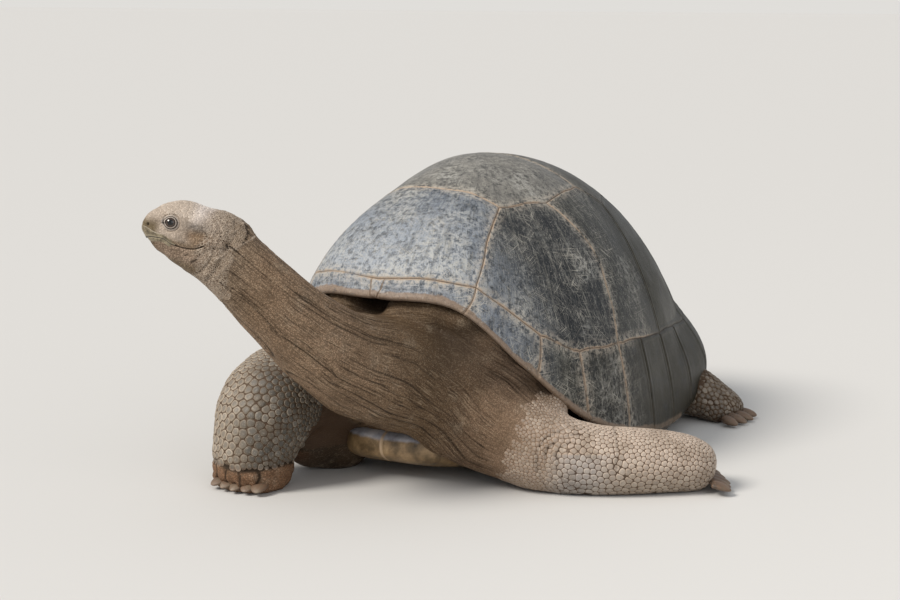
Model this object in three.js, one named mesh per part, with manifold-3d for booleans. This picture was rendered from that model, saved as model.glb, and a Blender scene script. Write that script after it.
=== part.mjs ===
// An Aldabra giant tortoise at life size, resting on its plastron with its neck raised and turned
// to its right. Millimetres, +Z up, the head end towards -Y and the animal's left towards +X.
// The origin is on the floor, in the middle of the plastron's flat underside.
import * as THREE from "three";
import { ConvexGeometry } from "three/addons/geometries/ConvexGeometry.js";
import { LoftGeometry } from "three/addons/geometries/LoftGeometry.js";
import { mergeVertices } from "three/addons/utils/BufferGeometryUtils.js";
import Module from "manifold-3d";

const wasm = await Module();
wasm.setup();

// ---- Driving dimensions ----
const SHELL_HALF_LENGTH = 546;
const SHELL_HALF_WIDTH = 386;
const SHELL_TOP = 629;
const TOP_SHIFT = -109; // the crown stands this far from the shell's middle, towards the head
const FRONT_WIDER = 0.043; // share by which the shell is wider in its front half, narrower behind
// Height of the carapace's lower edge at angles round it, from over the neck (0) to over the tail.
// It is lowest at the bridge between the legs and arches again over each hind leg.
const RIM_HEIGHTS = [
  [0, 378],
  [24, 364],
  [42, 240],
  [56, 132],
  [66, 90],
  [80, 58],
  [98, 38],
  [114, 48],
  [128, 66],
  [142, 98],
  [160, 140],
  [180, 122],
];
const SHELL_CENTRE = new THREE.Vector3(0, 0, 130); // the plates' seams run through planes from here
const PLATE_DEPTH = 7;
const SEAM = 2.4; // width of the groove between two plates
const WALL = 24; // thickness of the carapace under its plates
const GAP = 0.4; // clearance between two nodes
const AROUND = 36; // facets round the carapace
const UP_DOME = 8; // facets from its edge to its crown
const COARSE = 2; // hidden surfaces have this many times fewer facets each way

const shades = {
  plate: new THREE.MeshStandardMaterial({ color: 0x4a4d50, roughness: 0.5 }),
  rim: new THREE.MeshStandardMaterial({ color: 0x5a5650, roughness: 0.55 }),
  plastron: new THREE.MeshStandardMaterial({ color: 0x6b5a48, roughness: 0.5 }),
  skin: new THREE.MeshStandardMaterial({ color: 0x7c6a5a, roughness: 0.85 }),
  horn: new THREE.MeshStandardMaterial({ color: 0x8a7a66, roughness: 0.6 }),
  eye: new THREE.MeshStandardMaterial({ color: 0x17110d, roughness: 0.1 }),
};

const tortoise = new THREE.Group();

// ---- Solids ----

function solidOf(geometry) {
  const plain = geometry.index ? geometry.toNonIndexed() : geometry.clone();
  const merged = mergeVertices(
    new THREE.BufferGeometry().setAttribute("position", plain.getAttribute("position")),
    1e-3,
  );
  return new wasm.Manifold(
    new wasm.Mesh({
      numProp: 3,
      vertProperties: merged.attributes.position.array,
      triVerts: new Uint32Array(merged.index.array),
    }),
  );
}

function largestPiece(solid) {
  return solid.decompose().reduce((a, b) => (b.volume() > a.volume() ? b : a));
}

function addNode(name, solid, material) {
  const mesh = largestPiece(solid).getMesh();
  const geometry = new THREE.BufferGeometry()
    .setAttribute("position", new THREE.BufferAttribute(mesh.vertProperties, 3))
    .setIndex(new THREE.BufferAttribute(mesh.triVerts, 1));
  geometry.computeVertexNormals();
  const node = new THREE.Mesh(geometry, material);
  node.name = name;
  tortoise.add(node);
}

// A closed surface skinned over rings of points, running to a point at each end.
function ringSolid(first, rings, last) {
  const sections = [rings[0].map(() => first), ...rings, rings[0].map(() => last)];
  const solid = solidOf(new LoftGeometry(sections));
  if (solid.volume() > 0) return solid;
  return solidOf(new LoftGeometry(sections.reverse()));
}

const signedPower = (value, power) => Math.sign(value) * Math.abs(value) ** power;

// A limb, neck or head: oval sections strung on a smooth path. Each station is
// { at: [x, y, z], wide, up, down, square } with its half width and its height above and below.
function loft(stations, { steps = 12, around = 14, side = null, grow = 0 } = {}) {
  const path = new THREE.CatmullRomCurve3(
    stations.map((s) => new THREE.Vector3(...s.at)),
    false,
    "centripetal",
  );
  const value = (key, t) => {
    const k = Math.min(Math.floor(t * (stations.length - 1)), stations.length - 2);
    const f = t * (stations.length - 1) - k;
    const smooth = f * f * (3 - 2 * f);
    const from = stations[k][key] ?? stations[k].up;
    const to = stations[k + 1][key] ?? stations[k + 1].up;
    return from + (to - from) * smooth;
  };
  const rings = [];
  const capSteps = [0.35, 0.75, 1];
  const ringAt = (t, share, push) => {
    const along = path.getTangent(t);
    const sideways = side?.clone() ?? new THREE.Vector3().crossVectors(along, new THREE.Vector3(0, 0, 1));
    const across = sideways.addScaledVector(along, -along.dot(sideways)).normalize();
    const upward = new THREE.Vector3().crossVectors(across, along).normalize();
    const centre = path.getPoint(t).addScaledVector(along, push);
    const power = 2 / (stations[Math.round(t * (stations.length - 1))].square ?? 2.2);
    const ring = [];
    for (let i = 0; i < around; i++) {
      const a = (2 * Math.PI * i) / around;
      const high = Math.sin(a) > 0 ? value("up", t) : value("down", t);
      ring.push(
        centre
          .clone()
          .addScaledVector(across, (value("wide", t) + grow) * share * signedPower(Math.cos(a), power))
          .addScaledVector(upward, (high + grow) * share * signedPower(Math.sin(a), power)),
      );
    }
    return { ring, centre };
  };
  const startCap = Math.min(value("wide", 0), value("up", 0)) * 0.55;
  const endCap = Math.min(value("wide", 1), value("up", 1)) * 0.55;
  for (const s of capSteps.slice(0, -1))
    rings.push(ringAt(0, Math.sin((s * Math.PI) / 2), -startCap * Math.cos((s * Math.PI) / 2)).ring);
  for (let i = 0; i <= steps; i++) rings.push(ringAt(i / steps, 1, 0).ring);
  for (const s of capSteps.slice(0, -1).reverse())
    rings.push(ringAt(1, Math.sin((s * Math.PI) / 2), endCap * Math.cos((s * Math.PI) / 2)).ring);
  return ringSolid(ringAt(0, 0, -startCap - grow).centre, rings, ringAt(1, 0, endCap + grow).centre);
}

// Everything on the side of a plane that its normal points to, as a large block.
function beyond(point, normal, shift = 0) {
  const reach = 2400;
  const block = new THREE.BoxGeometry(reach, reach, reach);
  const direction = new THREE.Vector3(...normal).normalize();
  block.translate(0, 0, reach / 2 + shift);
  block.applyQuaternion(new THREE.Quaternion().setFromUnitVectors(new THREE.Vector3(0, 0, 1), direction));
  block.translate(...point);
  return solidOf(block);
}

const opposite = (v) => v.map((c) => -c);

// Parts a solid at a plane: [what the normal points to, what is behind], with a thin gap between.
function part(solid, point, normal) {
  return [
    solid.intersect(beyond(point, normal, GAP / 2)),
    solid.intersect(beyond(point, opposite(normal), GAP / 2)),
  ];
}

const floor = beyond([0, 0, 0], [0, 0, 1]);
const mirrorX = (p) => [-p[0], p[1], p[2]];

// ---- Carapace ----

// Shares of front, side and rear at an angle round the shell: 0 at the head, a half turn at the tail.
function shares(angle, sharpness) {
  const c = Math.cos(angle);
  const front = Math.max(c, 0) ** sharpness;
  const rear = Math.max(-c, 0) ** sharpness;
  return { front, rear, side: 1 - front - rear };
}

const blend = (w, front, side, rear) => w.front * front + w.side * side + w.rear * rear;

const rimCurve = new THREE.CatmullRomCurve3(
  RIM_HEIGHTS.map(([degrees, height]) => new THREE.Vector3((degrees * Math.PI) / 180, height / 400, 0)),
);

// Height of the edge at an angle: a smooth curve through the listed heights.
function rimHeight(angle) {
  const away = Math.abs(Math.atan2(Math.sin(angle), Math.cos(angle)));
  let low = 0;
  let high = 1;
  for (let i = 0; i < 24; i++) {
    const middle = (low + high) / 2;
    if (rimCurve.getPoint(middle).x < away) low = middle;
    else high = middle;
  }
  return rimCurve.getPoint(low).y * 400;
}

// The carapace's lower edge, before the rear of it flares out.
function rimPoint(angle) {
  const c = Math.cos(angle);
  const s = Math.sin(angle);
  const reach = (Math.abs(c) ** 2.33 + Math.abs(s) ** 2.33) ** (-1 / 2.33);
  const taper = 1 + FRONT_WIDER * Math.sin(Math.PI * Math.min(Math.max(c * reach, -1), 1));
  return new THREE.Vector3(
    s * reach * SHELL_HALF_WIDTH * taper,
    -c * reach * SHELL_HALF_LENGTH,
    rimHeight(angle),
  );
}

// How far the marginal plates over the hind legs stand out from the dome, by angle and rise.
function flare(angle, rise) {
  const away = Math.abs(Math.atan2(Math.sin(angle), Math.cos(angle)));
  const belly = Math.sin(Math.PI * Math.min((rise + 0.06) / 0.33, 1));
  return 46 * Math.exp(-(((away - 2.32) / 0.34) ** 2)) * belly;
}

// A point of the dome: rise runs from 0 at the edge to 1 at the crown. inset moves it inwards.
function domePoint(angle, rise, inset = 0) {
  const edge = rimPoint(angle);
  const w = shares(angle, 1.48);
  const plan = blend(w, 1.4, 2.18, 1.96);
  const lift = blend(w, 1.68, 1.68, 1.5);
  const turn = (rise * Math.PI) / 2;
  const out = Math.cos(turn) ** (2 / plan);
  const high = Math.sin(turn) ** (2 / lift);
  const point = new THREE.Vector3(
    edge.x * out,
    TOP_SHIFT * (1 - out) + edge.y * out,
    edge.z + (SHELL_TOP - edge.z) * high,
  );
  const outwards = 1 + flare(angle, rise) / Math.hypot(edge.x, edge.y);
  point.multiply(new THREE.Vector3(outwards, outwards, 1));
  const inwards = SHELL_CENTRE.clone().sub(point).normalize();
  return point.addScaledVector(inwards, inset);
}

function ringOf(pointAt, count = AROUND) {
  return Array.from({ length: count }, (_, i) => pointAt((2 * Math.PI * i) / count));
}

const crown = (inset) => new THREE.Vector3(0, TOP_SHIFT, SHELL_TOP - inset);

// The space under the dome, down to a level below the floor.
function domeSolid(inset, coarse = 1) {
  const count = AROUND / coarse;
  const steps = UP_DOME / coarse;
  const rings = [ringOf((a) => domePoint(a, 0, inset).setZ(-60), count)];
  for (let r = 0; r < steps; r++) rings.push(ringOf((a) => domePoint(a, r / steps, inset), count));
  return ringSolid(new THREE.Vector3(0, 0, -60), rings, crown(inset));
}

// The edge is thick: it turns in under itself, deepest along the bridge between the legs.
function tuckPoint(angle, step, grow) {
  const edge = domePoint(angle, 0);
  const away = Math.abs(Math.atan2(Math.sin(angle), Math.cos(angle)));
  const bridge = Math.exp(-(((away - 1.52) / 0.42) ** 4));
  const inward = (30 + 34 * bridge) * step + grow * (step > 0.9 ? 1.5 : 0);
  const drop = 36 * bridge * Math.sin((step * Math.PI) / 2) - 4 * step * (1 - bridge) + grow * 1.5;
  const flat = Math.hypot(edge.x, edge.y);
  return new THREE.Vector3(edge.x * (1 - inward / flat), edge.y * (1 - inward / flat), edge.z - drop);
}

// The carapace with its plates, or the room it takes up when grown all round.
function carapaceSolid(grow = 0) {
  const outer = [];
  for (let r = UP_DOME - 1; r > 0; r--) outer.push(ringOf((a) => domePoint(a, r / UP_DOME, -grow)));
  outer.push(ringOf((a) => domePoint(a, 0, -grow).setZ(rimPoint(a).z - grow * 1.5)));
  outer.push(ringOf((a) => tuckPoint(a, 0.5, grow)));
  outer.push(ringOf((a) => tuckPoint(a, 1, grow)));
  outer.push(ringOf((a) => domePoint(a, 0.12, WALL + grow)));
  const lid = new THREE.Vector3(0, TOP_SHIFT, SHELL_TOP - 90);
  const shell = ringSolid(crown(-grow), outer, lid);
  const hollow = domeSolid(WALL + grow, COARSE);
  return shell.subtract(hollow);
}

// Corners of the plates on the left side, each by its place in plan. Vertebral plates run down the
// back; their outer corners alternate between the seams across the back and the costals' seams.
const SPINE = {
  seams: [-292, -10, 166, 338],
  seamHalf: [142, 174, 156, 110],
  middles: [-309, -68],
  corners: [-174, 72, 258],
  cornerHalf: [189, 200, 172],
  costalBulge: [278, -130],
};
// Where the plates meet the marginals: degrees round the edge, and how far up the dome.
const BAND = {
  degrees: [0, 29.5, 46, 57, 71.6, 84, 98.5, 112, 126, 141, 156, 171],
  rise: [0.135, 0.19, 0.187, 0.217, 0.262, 0.272, 0.268, 0.26, 0.245, 0.235, 0.225, 0.215],
};
const NUCHAL_HALF = 2.2; // degrees
const YIELDS_TO = {
  vertebral_1: "vertebral_2",
  vertebral_2: "vertebral_3",
  costal_left_2: "costal_left_1",
  costal_right_2: "costal_right_1",
};

function bandCorner(index) {
  return domePoint((BAND.degrees[index] * Math.PI) / 180, BAND.rise[index]);
}

// The point of the dome that lies at a place in plan.
function overPlan(x, y) {
  const wanted = new THREE.Vector2(x, y);
  let best = { angle: 0, rise: 0, off: Infinity };
  for (let step = 0.12; step > 1e-4; step *= 0.6) {
    const { angle, rise } = best;
    for (let a = -8; a <= 8; a++)
      for (let r = -8; r <= 8; r++) {
        const here = { angle: angle + a * step * (best.off > 1e6 ? 3 : 1), rise: rise + r * step };
        if (here.rise < 0 || here.rise > 1) continue;
        const p = domePoint(here.angle, here.rise);
        const off = wanted.distanceTo(new THREE.Vector2(p.x, p.y));
        if (off < best.off) best = { ...here, off };
      }
  }
  return domePoint(best.angle, best.rise);
}

const mirrored = (p) => new THREE.Vector3(-p.x, p.y, p.z);
const spineSeam = (i) => overPlan(SPINE.seamHalf[i], SPINE.seams[i]);
const spineCorner = (i) => overPlan(SPINE.cornerHalf[i], SPINE.corners[i]);

function plateOutlines() {
  const outlines = {};
  const bothSides = (points) => [...points, ...points.map(mirrored).reverse()];
  outlines.vertebral_1 = bothSides([bandCorner(0), bandCorner(1), spineSeam(0)]);
  const [fold2, fold3] = SPINE.middles.map((y) => overPlan(0, y));
  outlines.vertebral_2 = bothSides([fold2, spineSeam(0), spineCorner(0), spineSeam(1)]);
  outlines.vertebral_3 = bothSides([fold3, spineSeam(1), spineCorner(1), spineSeam(2)]);
  outlines.vertebral_4 = bothSides([spineSeam(2), spineCorner(2), spineSeam(3)]);
  outlines.vertebral_5 = bothSides([spineSeam(3), bandCorner(10), bandCorner(11)]);
  const costals = [
    [spineSeam(0), spineCorner(0), overPlan(...SPINE.costalBulge), ...[4, 3, 2, 1].map(bandCorner)],
    [spineCorner(0), spineSeam(1), spineCorner(1), bandCorner(6), bandCorner(5), bandCorner(4)],
    [spineCorner(1), spineSeam(2), spineCorner(2), bandCorner(8), bandCorner(7), bandCorner(6)],
    [spineCorner(2), spineSeam(3), bandCorner(10), bandCorner(9), bandCorner(8)],
  ];
  costals.forEach((corners, i) => {
    outlines["costal_left_" + (i + 1)] = corners;
    outlines["costal_right_" + (i + 1)] = corners.map(mirrored);
  });
  return outlines;
}

// A pyramid from the shell's centre through a plate's outline, its corners moved in by a margin.
function wedge(corners, margin) {
  const middle = corners.reduce((a, b) => a.clone().add(b)).divideScalar(corners.length);
  const rays = corners.map((p) => {
    const moved = p.clone().addScaledVector(middle.clone().sub(p).normalize(), margin);
    return moved.sub(SHELL_CENTRE);
  });
  return solidOf(
    new ConvexGeometry([
      ...rays.map((v) => SHELL_CENTRE.clone().addScaledVector(v, 0.3)),
      ...rays.map((v) => SHELL_CENTRE.clone().addScaledVector(v, 1.6)),
    ]),
  );
}

// Thin radial slabs on the seams between the marginal plates, up to where the large plates begin.
function marginalSeams() {
  const slabs = [];
  for (const side of [1, -1])
    BAND.degrees.forEach((degrees, i) => {
      const at = ((i === 0 ? NUCHAL_HALF : degrees) * Math.PI) / 180;
      const edge = rimPoint(at);
      const top = domePoint(at, BAND.rise[i]).z - 2;
      const slab = new THREE.BoxGeometry(SEAM, 300, top - edge.z + 20);
      slab.translate(0, -150 - 330, (top + edge.z - 20) / 2);
      slab.rotateZ(Math.atan2(edge.x, -edge.y) * side);
      slabs.push(solidOf(slab));
    });
  return slabs.reduce((a, b) => a.add(b));
}

function addShell() {
  const outer = domeSolid(0);
  const bed = domeSolid(PLATE_DEPTH, COARSE);
  const groove = domeSolid(3, COARSE);
  const outlines = plateOutlines();
  const names = Object.keys(outlines);
  const cover = outer.subtract(bed);
  names.forEach((name) => {
    // A plate with a hollow edge gives way to the neighbour that bulges into it.
    const plate = cover.intersect(wedge(outlines[name], SEAM / 2));
    const neighbour = YIELDS_TO[name];
    const cut = neighbour ? plate.subtract(wedge(outlines[neighbour], -SEAM / 2)) : plate;
    addNode(name, cut, shades.plate);
  });

  const beds = names.map((name) => wedge(outlines[name], -SEAM / 2)).reduce((a, b) => a.add(b));
  const bare = carapaceSolid().subtract(beds.subtract(domeSolid(PLATE_DEPTH + GAP, COARSE)));
  addNode("carapace", bare.subtract(marginalSeams().subtract(groove)), shades.rim);
}

// ---- Plastron ----

// The flat underside, turned up at the front lip, with its two lobes and the wide bridges between.
function plastronSolid(grow = 0) {
  const stations = [
    { y: -516, half: 76, low: 50, high: 84 },
    { y: -494, half: 106, low: 36, high: 94 },
    { y: -430, half: 140, low: 20, high: 88 },
    { y: -340, half: 190, low: 8, high: 74 },
    { y: -245, half: 262, low: -5, high: 66 },
    { y: -190, half: 312, low: -5, high: 60 },
    { y: 150, half: 318, low: -5, high: 62 },
    { y: 225, half: 262, low: -5, high: 60 },
    { y: 330, half: 178, low: -5, high: 56 },
    { y: 415, half: 112, low: 8, high: 52 },
    { y: 440, half: 66, low: 16, high: 46 },
  ];
  const ring = ({ y, half, low, high }) => {
    const middle = (low + high) / 2;
    const thick = (high - low) / 2 + grow;
    return Array.from({ length: 16 }, (_, i) => {
      const a = (2 * Math.PI * (i + 0.5)) / 16;
      return new THREE.Vector3(
        (half + grow) * signedPower(Math.cos(a), 0.45),
        y,
        middle + thick * signedPower(Math.sin(a), 0.4),
      );
    });
  };
  const ends = [stations[0], stations.at(-1)];
  const rings = stations.map(ring);
  return ringSolid(
    new THREE.Vector3(0, ends[0].y - 10 - grow, (ends[0].low + ends[0].high) / 2),
    rings,
    new THREE.Vector3(0, ends[1].y + 6 + grow, (ends[1].low + ends[1].high) / 2),
  );
}

// ---- Flesh ----

const TRUNK = [
  { at: [6, -462, 184], wide: 214, up: 158, down: 104, square: 2.8 },
  { at: [4, -400, 205], wide: 280, up: 176, down: 140, square: 3 },
  { at: [0, -300, 235], wide: 324, up: 212, down: 165, square: 2.7 },
  { at: [0, -120, 250], wide: 340, up: 260, down: 185, square: 2.5 },
  { at: [0, 120, 250], wide: 330, up: 240, down: 185, square: 2.5 },
  { at: [0, 300, 210], wide: 290, up: 180, down: 150, square: 2.5 },
  { at: [0, 415, 165], wide: 215, up: 110, down: 110, square: 2.5 },
];

const NECK = [
  { at: [26, -380, 222], wide: 176, up: 106, down: 130 },
  { at: [24, -480, 236], wide: 164, up: 104, down: 142 },
  { at: [10, -600, 262], wide: 120, up: 94, down: 112 },
  { at: [-6, -712, 314], wide: 90, up: 82, down: 88 },
  { at: [-42, -802, 394], wide: 74, up: 72, down: 74 },
  { at: [-88, -858, 470], wide: 64, up: 65, down: 66 },
  { at: [-118, -884, 508], wide: 58, up: 64, down: 66 },
  { at: [-142, -902, 532], wide: 50, up: 44, down: 58 },
];

// The head, by distances behind the beak's tip along an axis that lifts a little towards the tip.
const HEAD_TIP = new THREE.Vector3(-226.5, -965, 558);
const HEAD_AXIS = new THREE.Vector3(-0.78, -0.57, 0.262).normalize();
const HEAD_UP = new THREE.Vector3(0, 0, 1).addScaledVector(HEAD_AXIS, -HEAD_AXIS.z).normalize();
const HEAD_SIDE = new THREE.Vector3().crossVectors(HEAD_UP, HEAD_AXIS).normalize(); // to the left
const HEAD_SECTIONS = [
  { back: 3, wide: 12, up: 21, down: 14 },
  { back: 14, wide: 20, up: 36, down: 23 },
  { back: 30, wide: 29, up: 49, down: 36 },
  { back: 50, wide: 38, up: 59, down: 46 },
  { back: 72, wide: 45, up: 62, down: 56 },
  { back: 100, wide: 51, up: 60, down: 67 },
  { back: 128, wide: 54, up: 61, down: 76 },
  { back: 152, wide: 54, up: 59, down: 80 },
  { back: 178, wide: 50, up: 49, down: 66 },
];
const EYE = { back: 47, aside: 27, up: 18.5, radius: 14.5 };
const MOUTH = { back: 20, up: -16 };

function headPoint(back, sideways, upwards) {
  return HEAD_TIP.clone()
    .addScaledVector(HEAD_AXIS, -back)
    .addScaledVector(HEAD_SIDE, sideways)
    .addScaledVector(HEAD_UP, upwards)
    .toArray();
}

function headLoft(grow = 0) {
  const stations = HEAD_SECTIONS.map(({ back, ...size }) => ({ at: headPoint(back, 0, 0), ...size }));
  return loft(stations, { steps: 13, around: 14, side: HEAD_SIDE, grow });
}

const LEFT_ARM = [
  { at: [92, -412, 168], wide: 128, up: 118, down: 128 },
  { at: [192, -404, 134], wide: 104, up: 104, down: 118 },
  { at: [300, -402, 88], wide: 80, up: 78, down: 94 },
  { at: [385, -370, 70], wide: 74, up: 62, down: 80 },
  { at: [468, -320, 66], wide: 72, up: 58, down: 74 },
  { at: [536, -270, 58], wide: 67, up: 56, down: 64 },
  { at: [572, -240, 46], wide: 54, up: 46, down: 50 },
];

const RIGHT_ARM = [
  { at: [-112, -350, 185], wide: 108, up: 96, down: 160 },
  { at: [-160, -450, 188], wide: 106, up: 86, down: 172 },
  { at: [-190, -560, 190], wide: 108, up: 86, down: 116 },
  { at: [-202, -630, 150], wide: 108, up: 92, down: 96 },
  { at: [-210, -660, 80], wide: 90, up: 82, down: 80 },
  { at: [-214, -676, 10], wide: 78, up: 72, down: 72 },
];

const HIND_LEG = [
  { at: [190, 250, 120], wide: 88, up: 84, down: 84 },
  { at: [270, 300, 88], wide: 80, up: 70, down: 74 },
  { at: [338, 322, 54], wide: 70, up: 52, down: 54 },
  { at: [386, 324, 30], wide: 62, up: 42, down: 34 },
  { at: [412, 316, 18], wide: 56, up: 32, down: 26 },
];

const TAIL = [
  { at: [0, 400, 130], wide: 62, up: 50, down: 50 },
  { at: [6, 470, 96], wide: 46, up: 40, down: 40 },
  { at: [24, 528, 52], wide: 28, up: 26, down: 26 },
  { at: [58, 560, 24], wide: 15, up: 14, down: 14 },
];

function flesh() {
  const shellWall = carapaceSolid(2 * GAP);
  const plastronRoom = plastronSolid(GAP);
  const clear = (solid, ...others) =>
    [shellWall, plastronRoom, ...others].reduce((a, b) => a.subtract(b), solid).intersect(floor);

  const trunk = loft(TRUNK, { steps: 8, around: 16 });
  const trunkRoom = loft(TRUNK, { steps: 8, around: 16, grow: GAP });
  addNode("trunk", clear(trunk), shades.skin);

  // Neck and head are one form, parted behind the skull and half way down the neck.
  const neckAndHead = loft(NECK, { steps: 13, around: 16 }).add(headLoft());
  const behindSkull = HEAD_AXIS.clone().addScaledVector(HEAD_UP, 0.25).toArray();
  const [headWhole, neckWhole] = part(neckAndHead, headPoint(152, 0, 0), behindSkull);
  const neckRoom = loft(NECK, { steps: 13, around: 16, grow: GAP });
  const [neckUpper, neckBase] = part(neckWhole, [-4, -700, 310], [-0.16, -0.86, 0.5]);
  addNode("neck_upper", clear(neckUpper), shades.skin);
  addNode("neck_base", clear(neckBase, trunkRoom), shades.skin);

  const eyes = [-1, 1].map((side) => {
    const centre = headPoint(EYE.back, side * EYE.aside, EYE.up);
    const [ball, room] = [0, GAP].map((grow) =>
      solidOf(new THREE.SphereGeometry(EYE.radius + grow, 12, 8).translate(...centre)),
    );
    return { name: side < 0 ? "eye_right" : "eye_left", ball, room };
  });
  eyes.forEach((eye) => addNode(eye.name, eye.ball, shades.eye));
  const head = eyes.reduce((a, eye) => a.subtract(eye.room), headWhole);
  const [upper, lower] = part(head, headPoint(MOUTH.back, 0, MOUTH.up), HEAD_UP.toArray());
  // The horn of the beak ends at a slant: it reaches furthest back along the mouth.
  const hornUpper = HEAD_AXIS.clone().multiplyScalar(0.82).addScaledVector(HEAD_UP, -0.57).toArray();
  const hornLower = HEAD_AXIS.clone().multiplyScalar(0.75).addScaledVector(HEAD_UP, 0.66).toArray();
  const [beakUpper, cranium] = part(upper, headPoint(32, 0, MOUTH.up), hornUpper);
  const [beakLower, jaw] = part(lower, headPoint(42, 0, MOUTH.up), hornLower);
  addNode("head", cranium, shades.skin);
  addNode("beak_upper", beakUpper, shades.horn);
  addNode("lower_jaw", jaw, shades.skin);
  addNode("beak_lower", beakLower, shades.horn);

  return { clear, trunkRoom, neckRoom };
}

// Claws: blunt cones set along the front of a foot.
function claw(base, direction, length, radius) {
  const outline = [
    [0, -length / 2],
    [radius, -length / 2],
    [radius * 0.82, 0],
    [radius * 0.42, length / 2],
    [0, length / 2 + radius * 0.25],
  ];
  const solid = solidOf(new THREE.LatheGeometry(outline.map(([x, y]) => new THREE.Vector2(x, y)), 7));
  const along = new THREE.Vector3(...direction).normalize();
  const turned = new THREE.Quaternion().setFromUnitVectors(new THREE.Vector3(0, 1, 0), along);
  const at = new THREE.Vector3(...base).addScaledVector(along, length / 2);
  return solid.transform(new THREE.Matrix4().compose(at, turned, new THREE.Vector3(1, 1, 1)).toArray());
}

// Each foot's claws: a row of bases across the foot, all pointing about the same way.
function clawRow({ from, to, count, point, spread, length, radius }) {
  const across = new THREE.Vector3(...to).sub(new THREE.Vector3(...from));
  return Array.from({ length: count }, (_, i) => {
    const share = count === 1 ? 0.5 : i / (count - 1);
    const base = new THREE.Vector3(...from).addScaledVector(across, share);
    const fan = across.clone().normalize().multiplyScalar(spread * (share - 0.5));
    const direction = new THREE.Vector3(...point).add(fan);
    const middle = 1 - Math.abs(share - 0.5);
    return claw(base.toArray(), direction.toArray(), length * (0.55 + 0.45 * middle), radius);
  });
}

function addLimbs({ clear, trunkRoom, neckRoom }) {
  const limbs = {
    foreleg_left: {
      stations: LEFT_ARM,
      cuts: [
        { at: [330, -415, 80], normal: [0.9, 0.35, -0.15] },
        { at: [518, -285, 56], normal: [0.8, 0.6, -0.1] },
      ],
      claws: { from: [618, -280, 22], to: [562, -188, 22], count: 5, point: [0.8, 0.5, -0.2], spread: 0.5 },
    },
    foreleg_right: {
      stations: RIGHT_ARM,
      cuts: [
        { at: [-206, -575, 190], normal: [-0.05, -0.72, -0.55] },
        { at: [-214, -660, 52], normal: [0, -0.12, -1] },
      ],
      claws: { from: [-254, -720, 17], to: [-158, -722, 17], count: 5, point: [0, -0.95, -0.15], spread: 0.5 },
    },
    hindleg_left: {
      stations: HIND_LEG,
      cuts: [{ at: [338, 322, 56], normal: [0.85, 0.1, -0.5] }],
      claws: { from: [428, 262, 16], to: [434, 352, 16], count: 4, point: [0.95, 0, -0.1], spread: 0.5 },
    },
    hindleg_right: {
      stations: HIND_LEG.map((s) => ({ ...s, at: mirrorX(s.at) })),
      cuts: [{ at: [-338, 322, 56], normal: [-0.85, 0.1, -0.5] }],
      claws: { from: [-428, 262, 16], to: [-434, 352, 16], count: 4, point: [-0.95, 0, -0.1], spread: 0.5 },
    },
  };
  const levels = { 3: ["upper", "lower", "foot"], 2: ["thigh", "foot"] };
  for (const [name, limb] of Object.entries(limbs)) {
    let rest = clear(loft(limb.stations, { steps: 9, around: 12 }), trunkRoom, neckRoom);
    const claws = clawRow({ length: 40, radius: 12, ...limb.claws }).map((c) => c.intersect(floor));
    const clawRooms = clawRow({ length: 41, radius: 12 + GAP, ...limb.claws });
    const pieces = [];
    for (const cut of limb.cuts) {
      const [further, nearer] = part(rest, cut.at, cut.normal);
      pieces.push(nearer);
      rest = further;
    }
    pieces.push(clawRooms.reduce((a, b) => a.subtract(b), rest));
    pieces.forEach((piece, i) => addNode(name + "_" + levels[pieces.length][i], piece, shades.skin));
    claws.forEach((c, i) => addNode(name + "_claw_" + (i + 1), c, shades.horn));
  }
  addNode("tail", clear(loft(TAIL, { steps: 6, around: 10 }), trunkRoom), shades.skin);
}

addShell();
addNode("plastron", plastronSolid().subtract(carapaceSolid(2 * GAP)).intersect(floor), shades.plastron);
addLimbs(flesh());

export default tortoise;
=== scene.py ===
# A giant tortoise at life size, resting on its plastron with its neck raised and turned to its right.
# Metres, +Z up, the head end towards -Y and the animal's left towards +X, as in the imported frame.
import math

import bmesh
import bpy
import numpy as np
from mathutils import Matrix, Vector, kdtree
from mathutils.bvhtree import BVHTree


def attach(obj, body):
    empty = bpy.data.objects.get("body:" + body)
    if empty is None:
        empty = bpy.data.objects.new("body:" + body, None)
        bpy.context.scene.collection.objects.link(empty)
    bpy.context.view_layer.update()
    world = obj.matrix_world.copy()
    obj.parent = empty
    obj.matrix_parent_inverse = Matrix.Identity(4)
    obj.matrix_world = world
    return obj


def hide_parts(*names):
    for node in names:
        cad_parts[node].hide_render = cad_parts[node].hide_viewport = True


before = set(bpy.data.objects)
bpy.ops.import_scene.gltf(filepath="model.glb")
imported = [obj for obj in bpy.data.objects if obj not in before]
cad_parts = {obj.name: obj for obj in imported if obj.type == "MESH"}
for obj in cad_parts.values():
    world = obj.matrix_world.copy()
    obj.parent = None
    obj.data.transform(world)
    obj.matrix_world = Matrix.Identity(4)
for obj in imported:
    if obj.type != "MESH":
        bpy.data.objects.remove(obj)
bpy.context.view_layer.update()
scene = bpy.context.scene
scene.view_settings.view_transform = "Standard"

# ---- Camera ----
# It stands ahead and to the animal's left, a little above its head, with a moderately long lens.
camera = bpy.data.objects.new("camera", bpy.data.cameras.new("camera"))
camera.data.sensor_width = 36
camera.data.lens = 72
camera.location = (1.875, -3.495, 0.985)
camera.rotation_euler = (math.radians(90 - 9.9), 0, math.radians(30))
scene.collection.objects.link(camera)
scene.camera = camera

# ---- Horny plates of the carapace ----
# Thirteen large plates of keratin grow over the bony dome: five down the back and four on each side.
# An old animal's are worn smooth, so their growth rings are faint, and a pale groove parts them.

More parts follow.
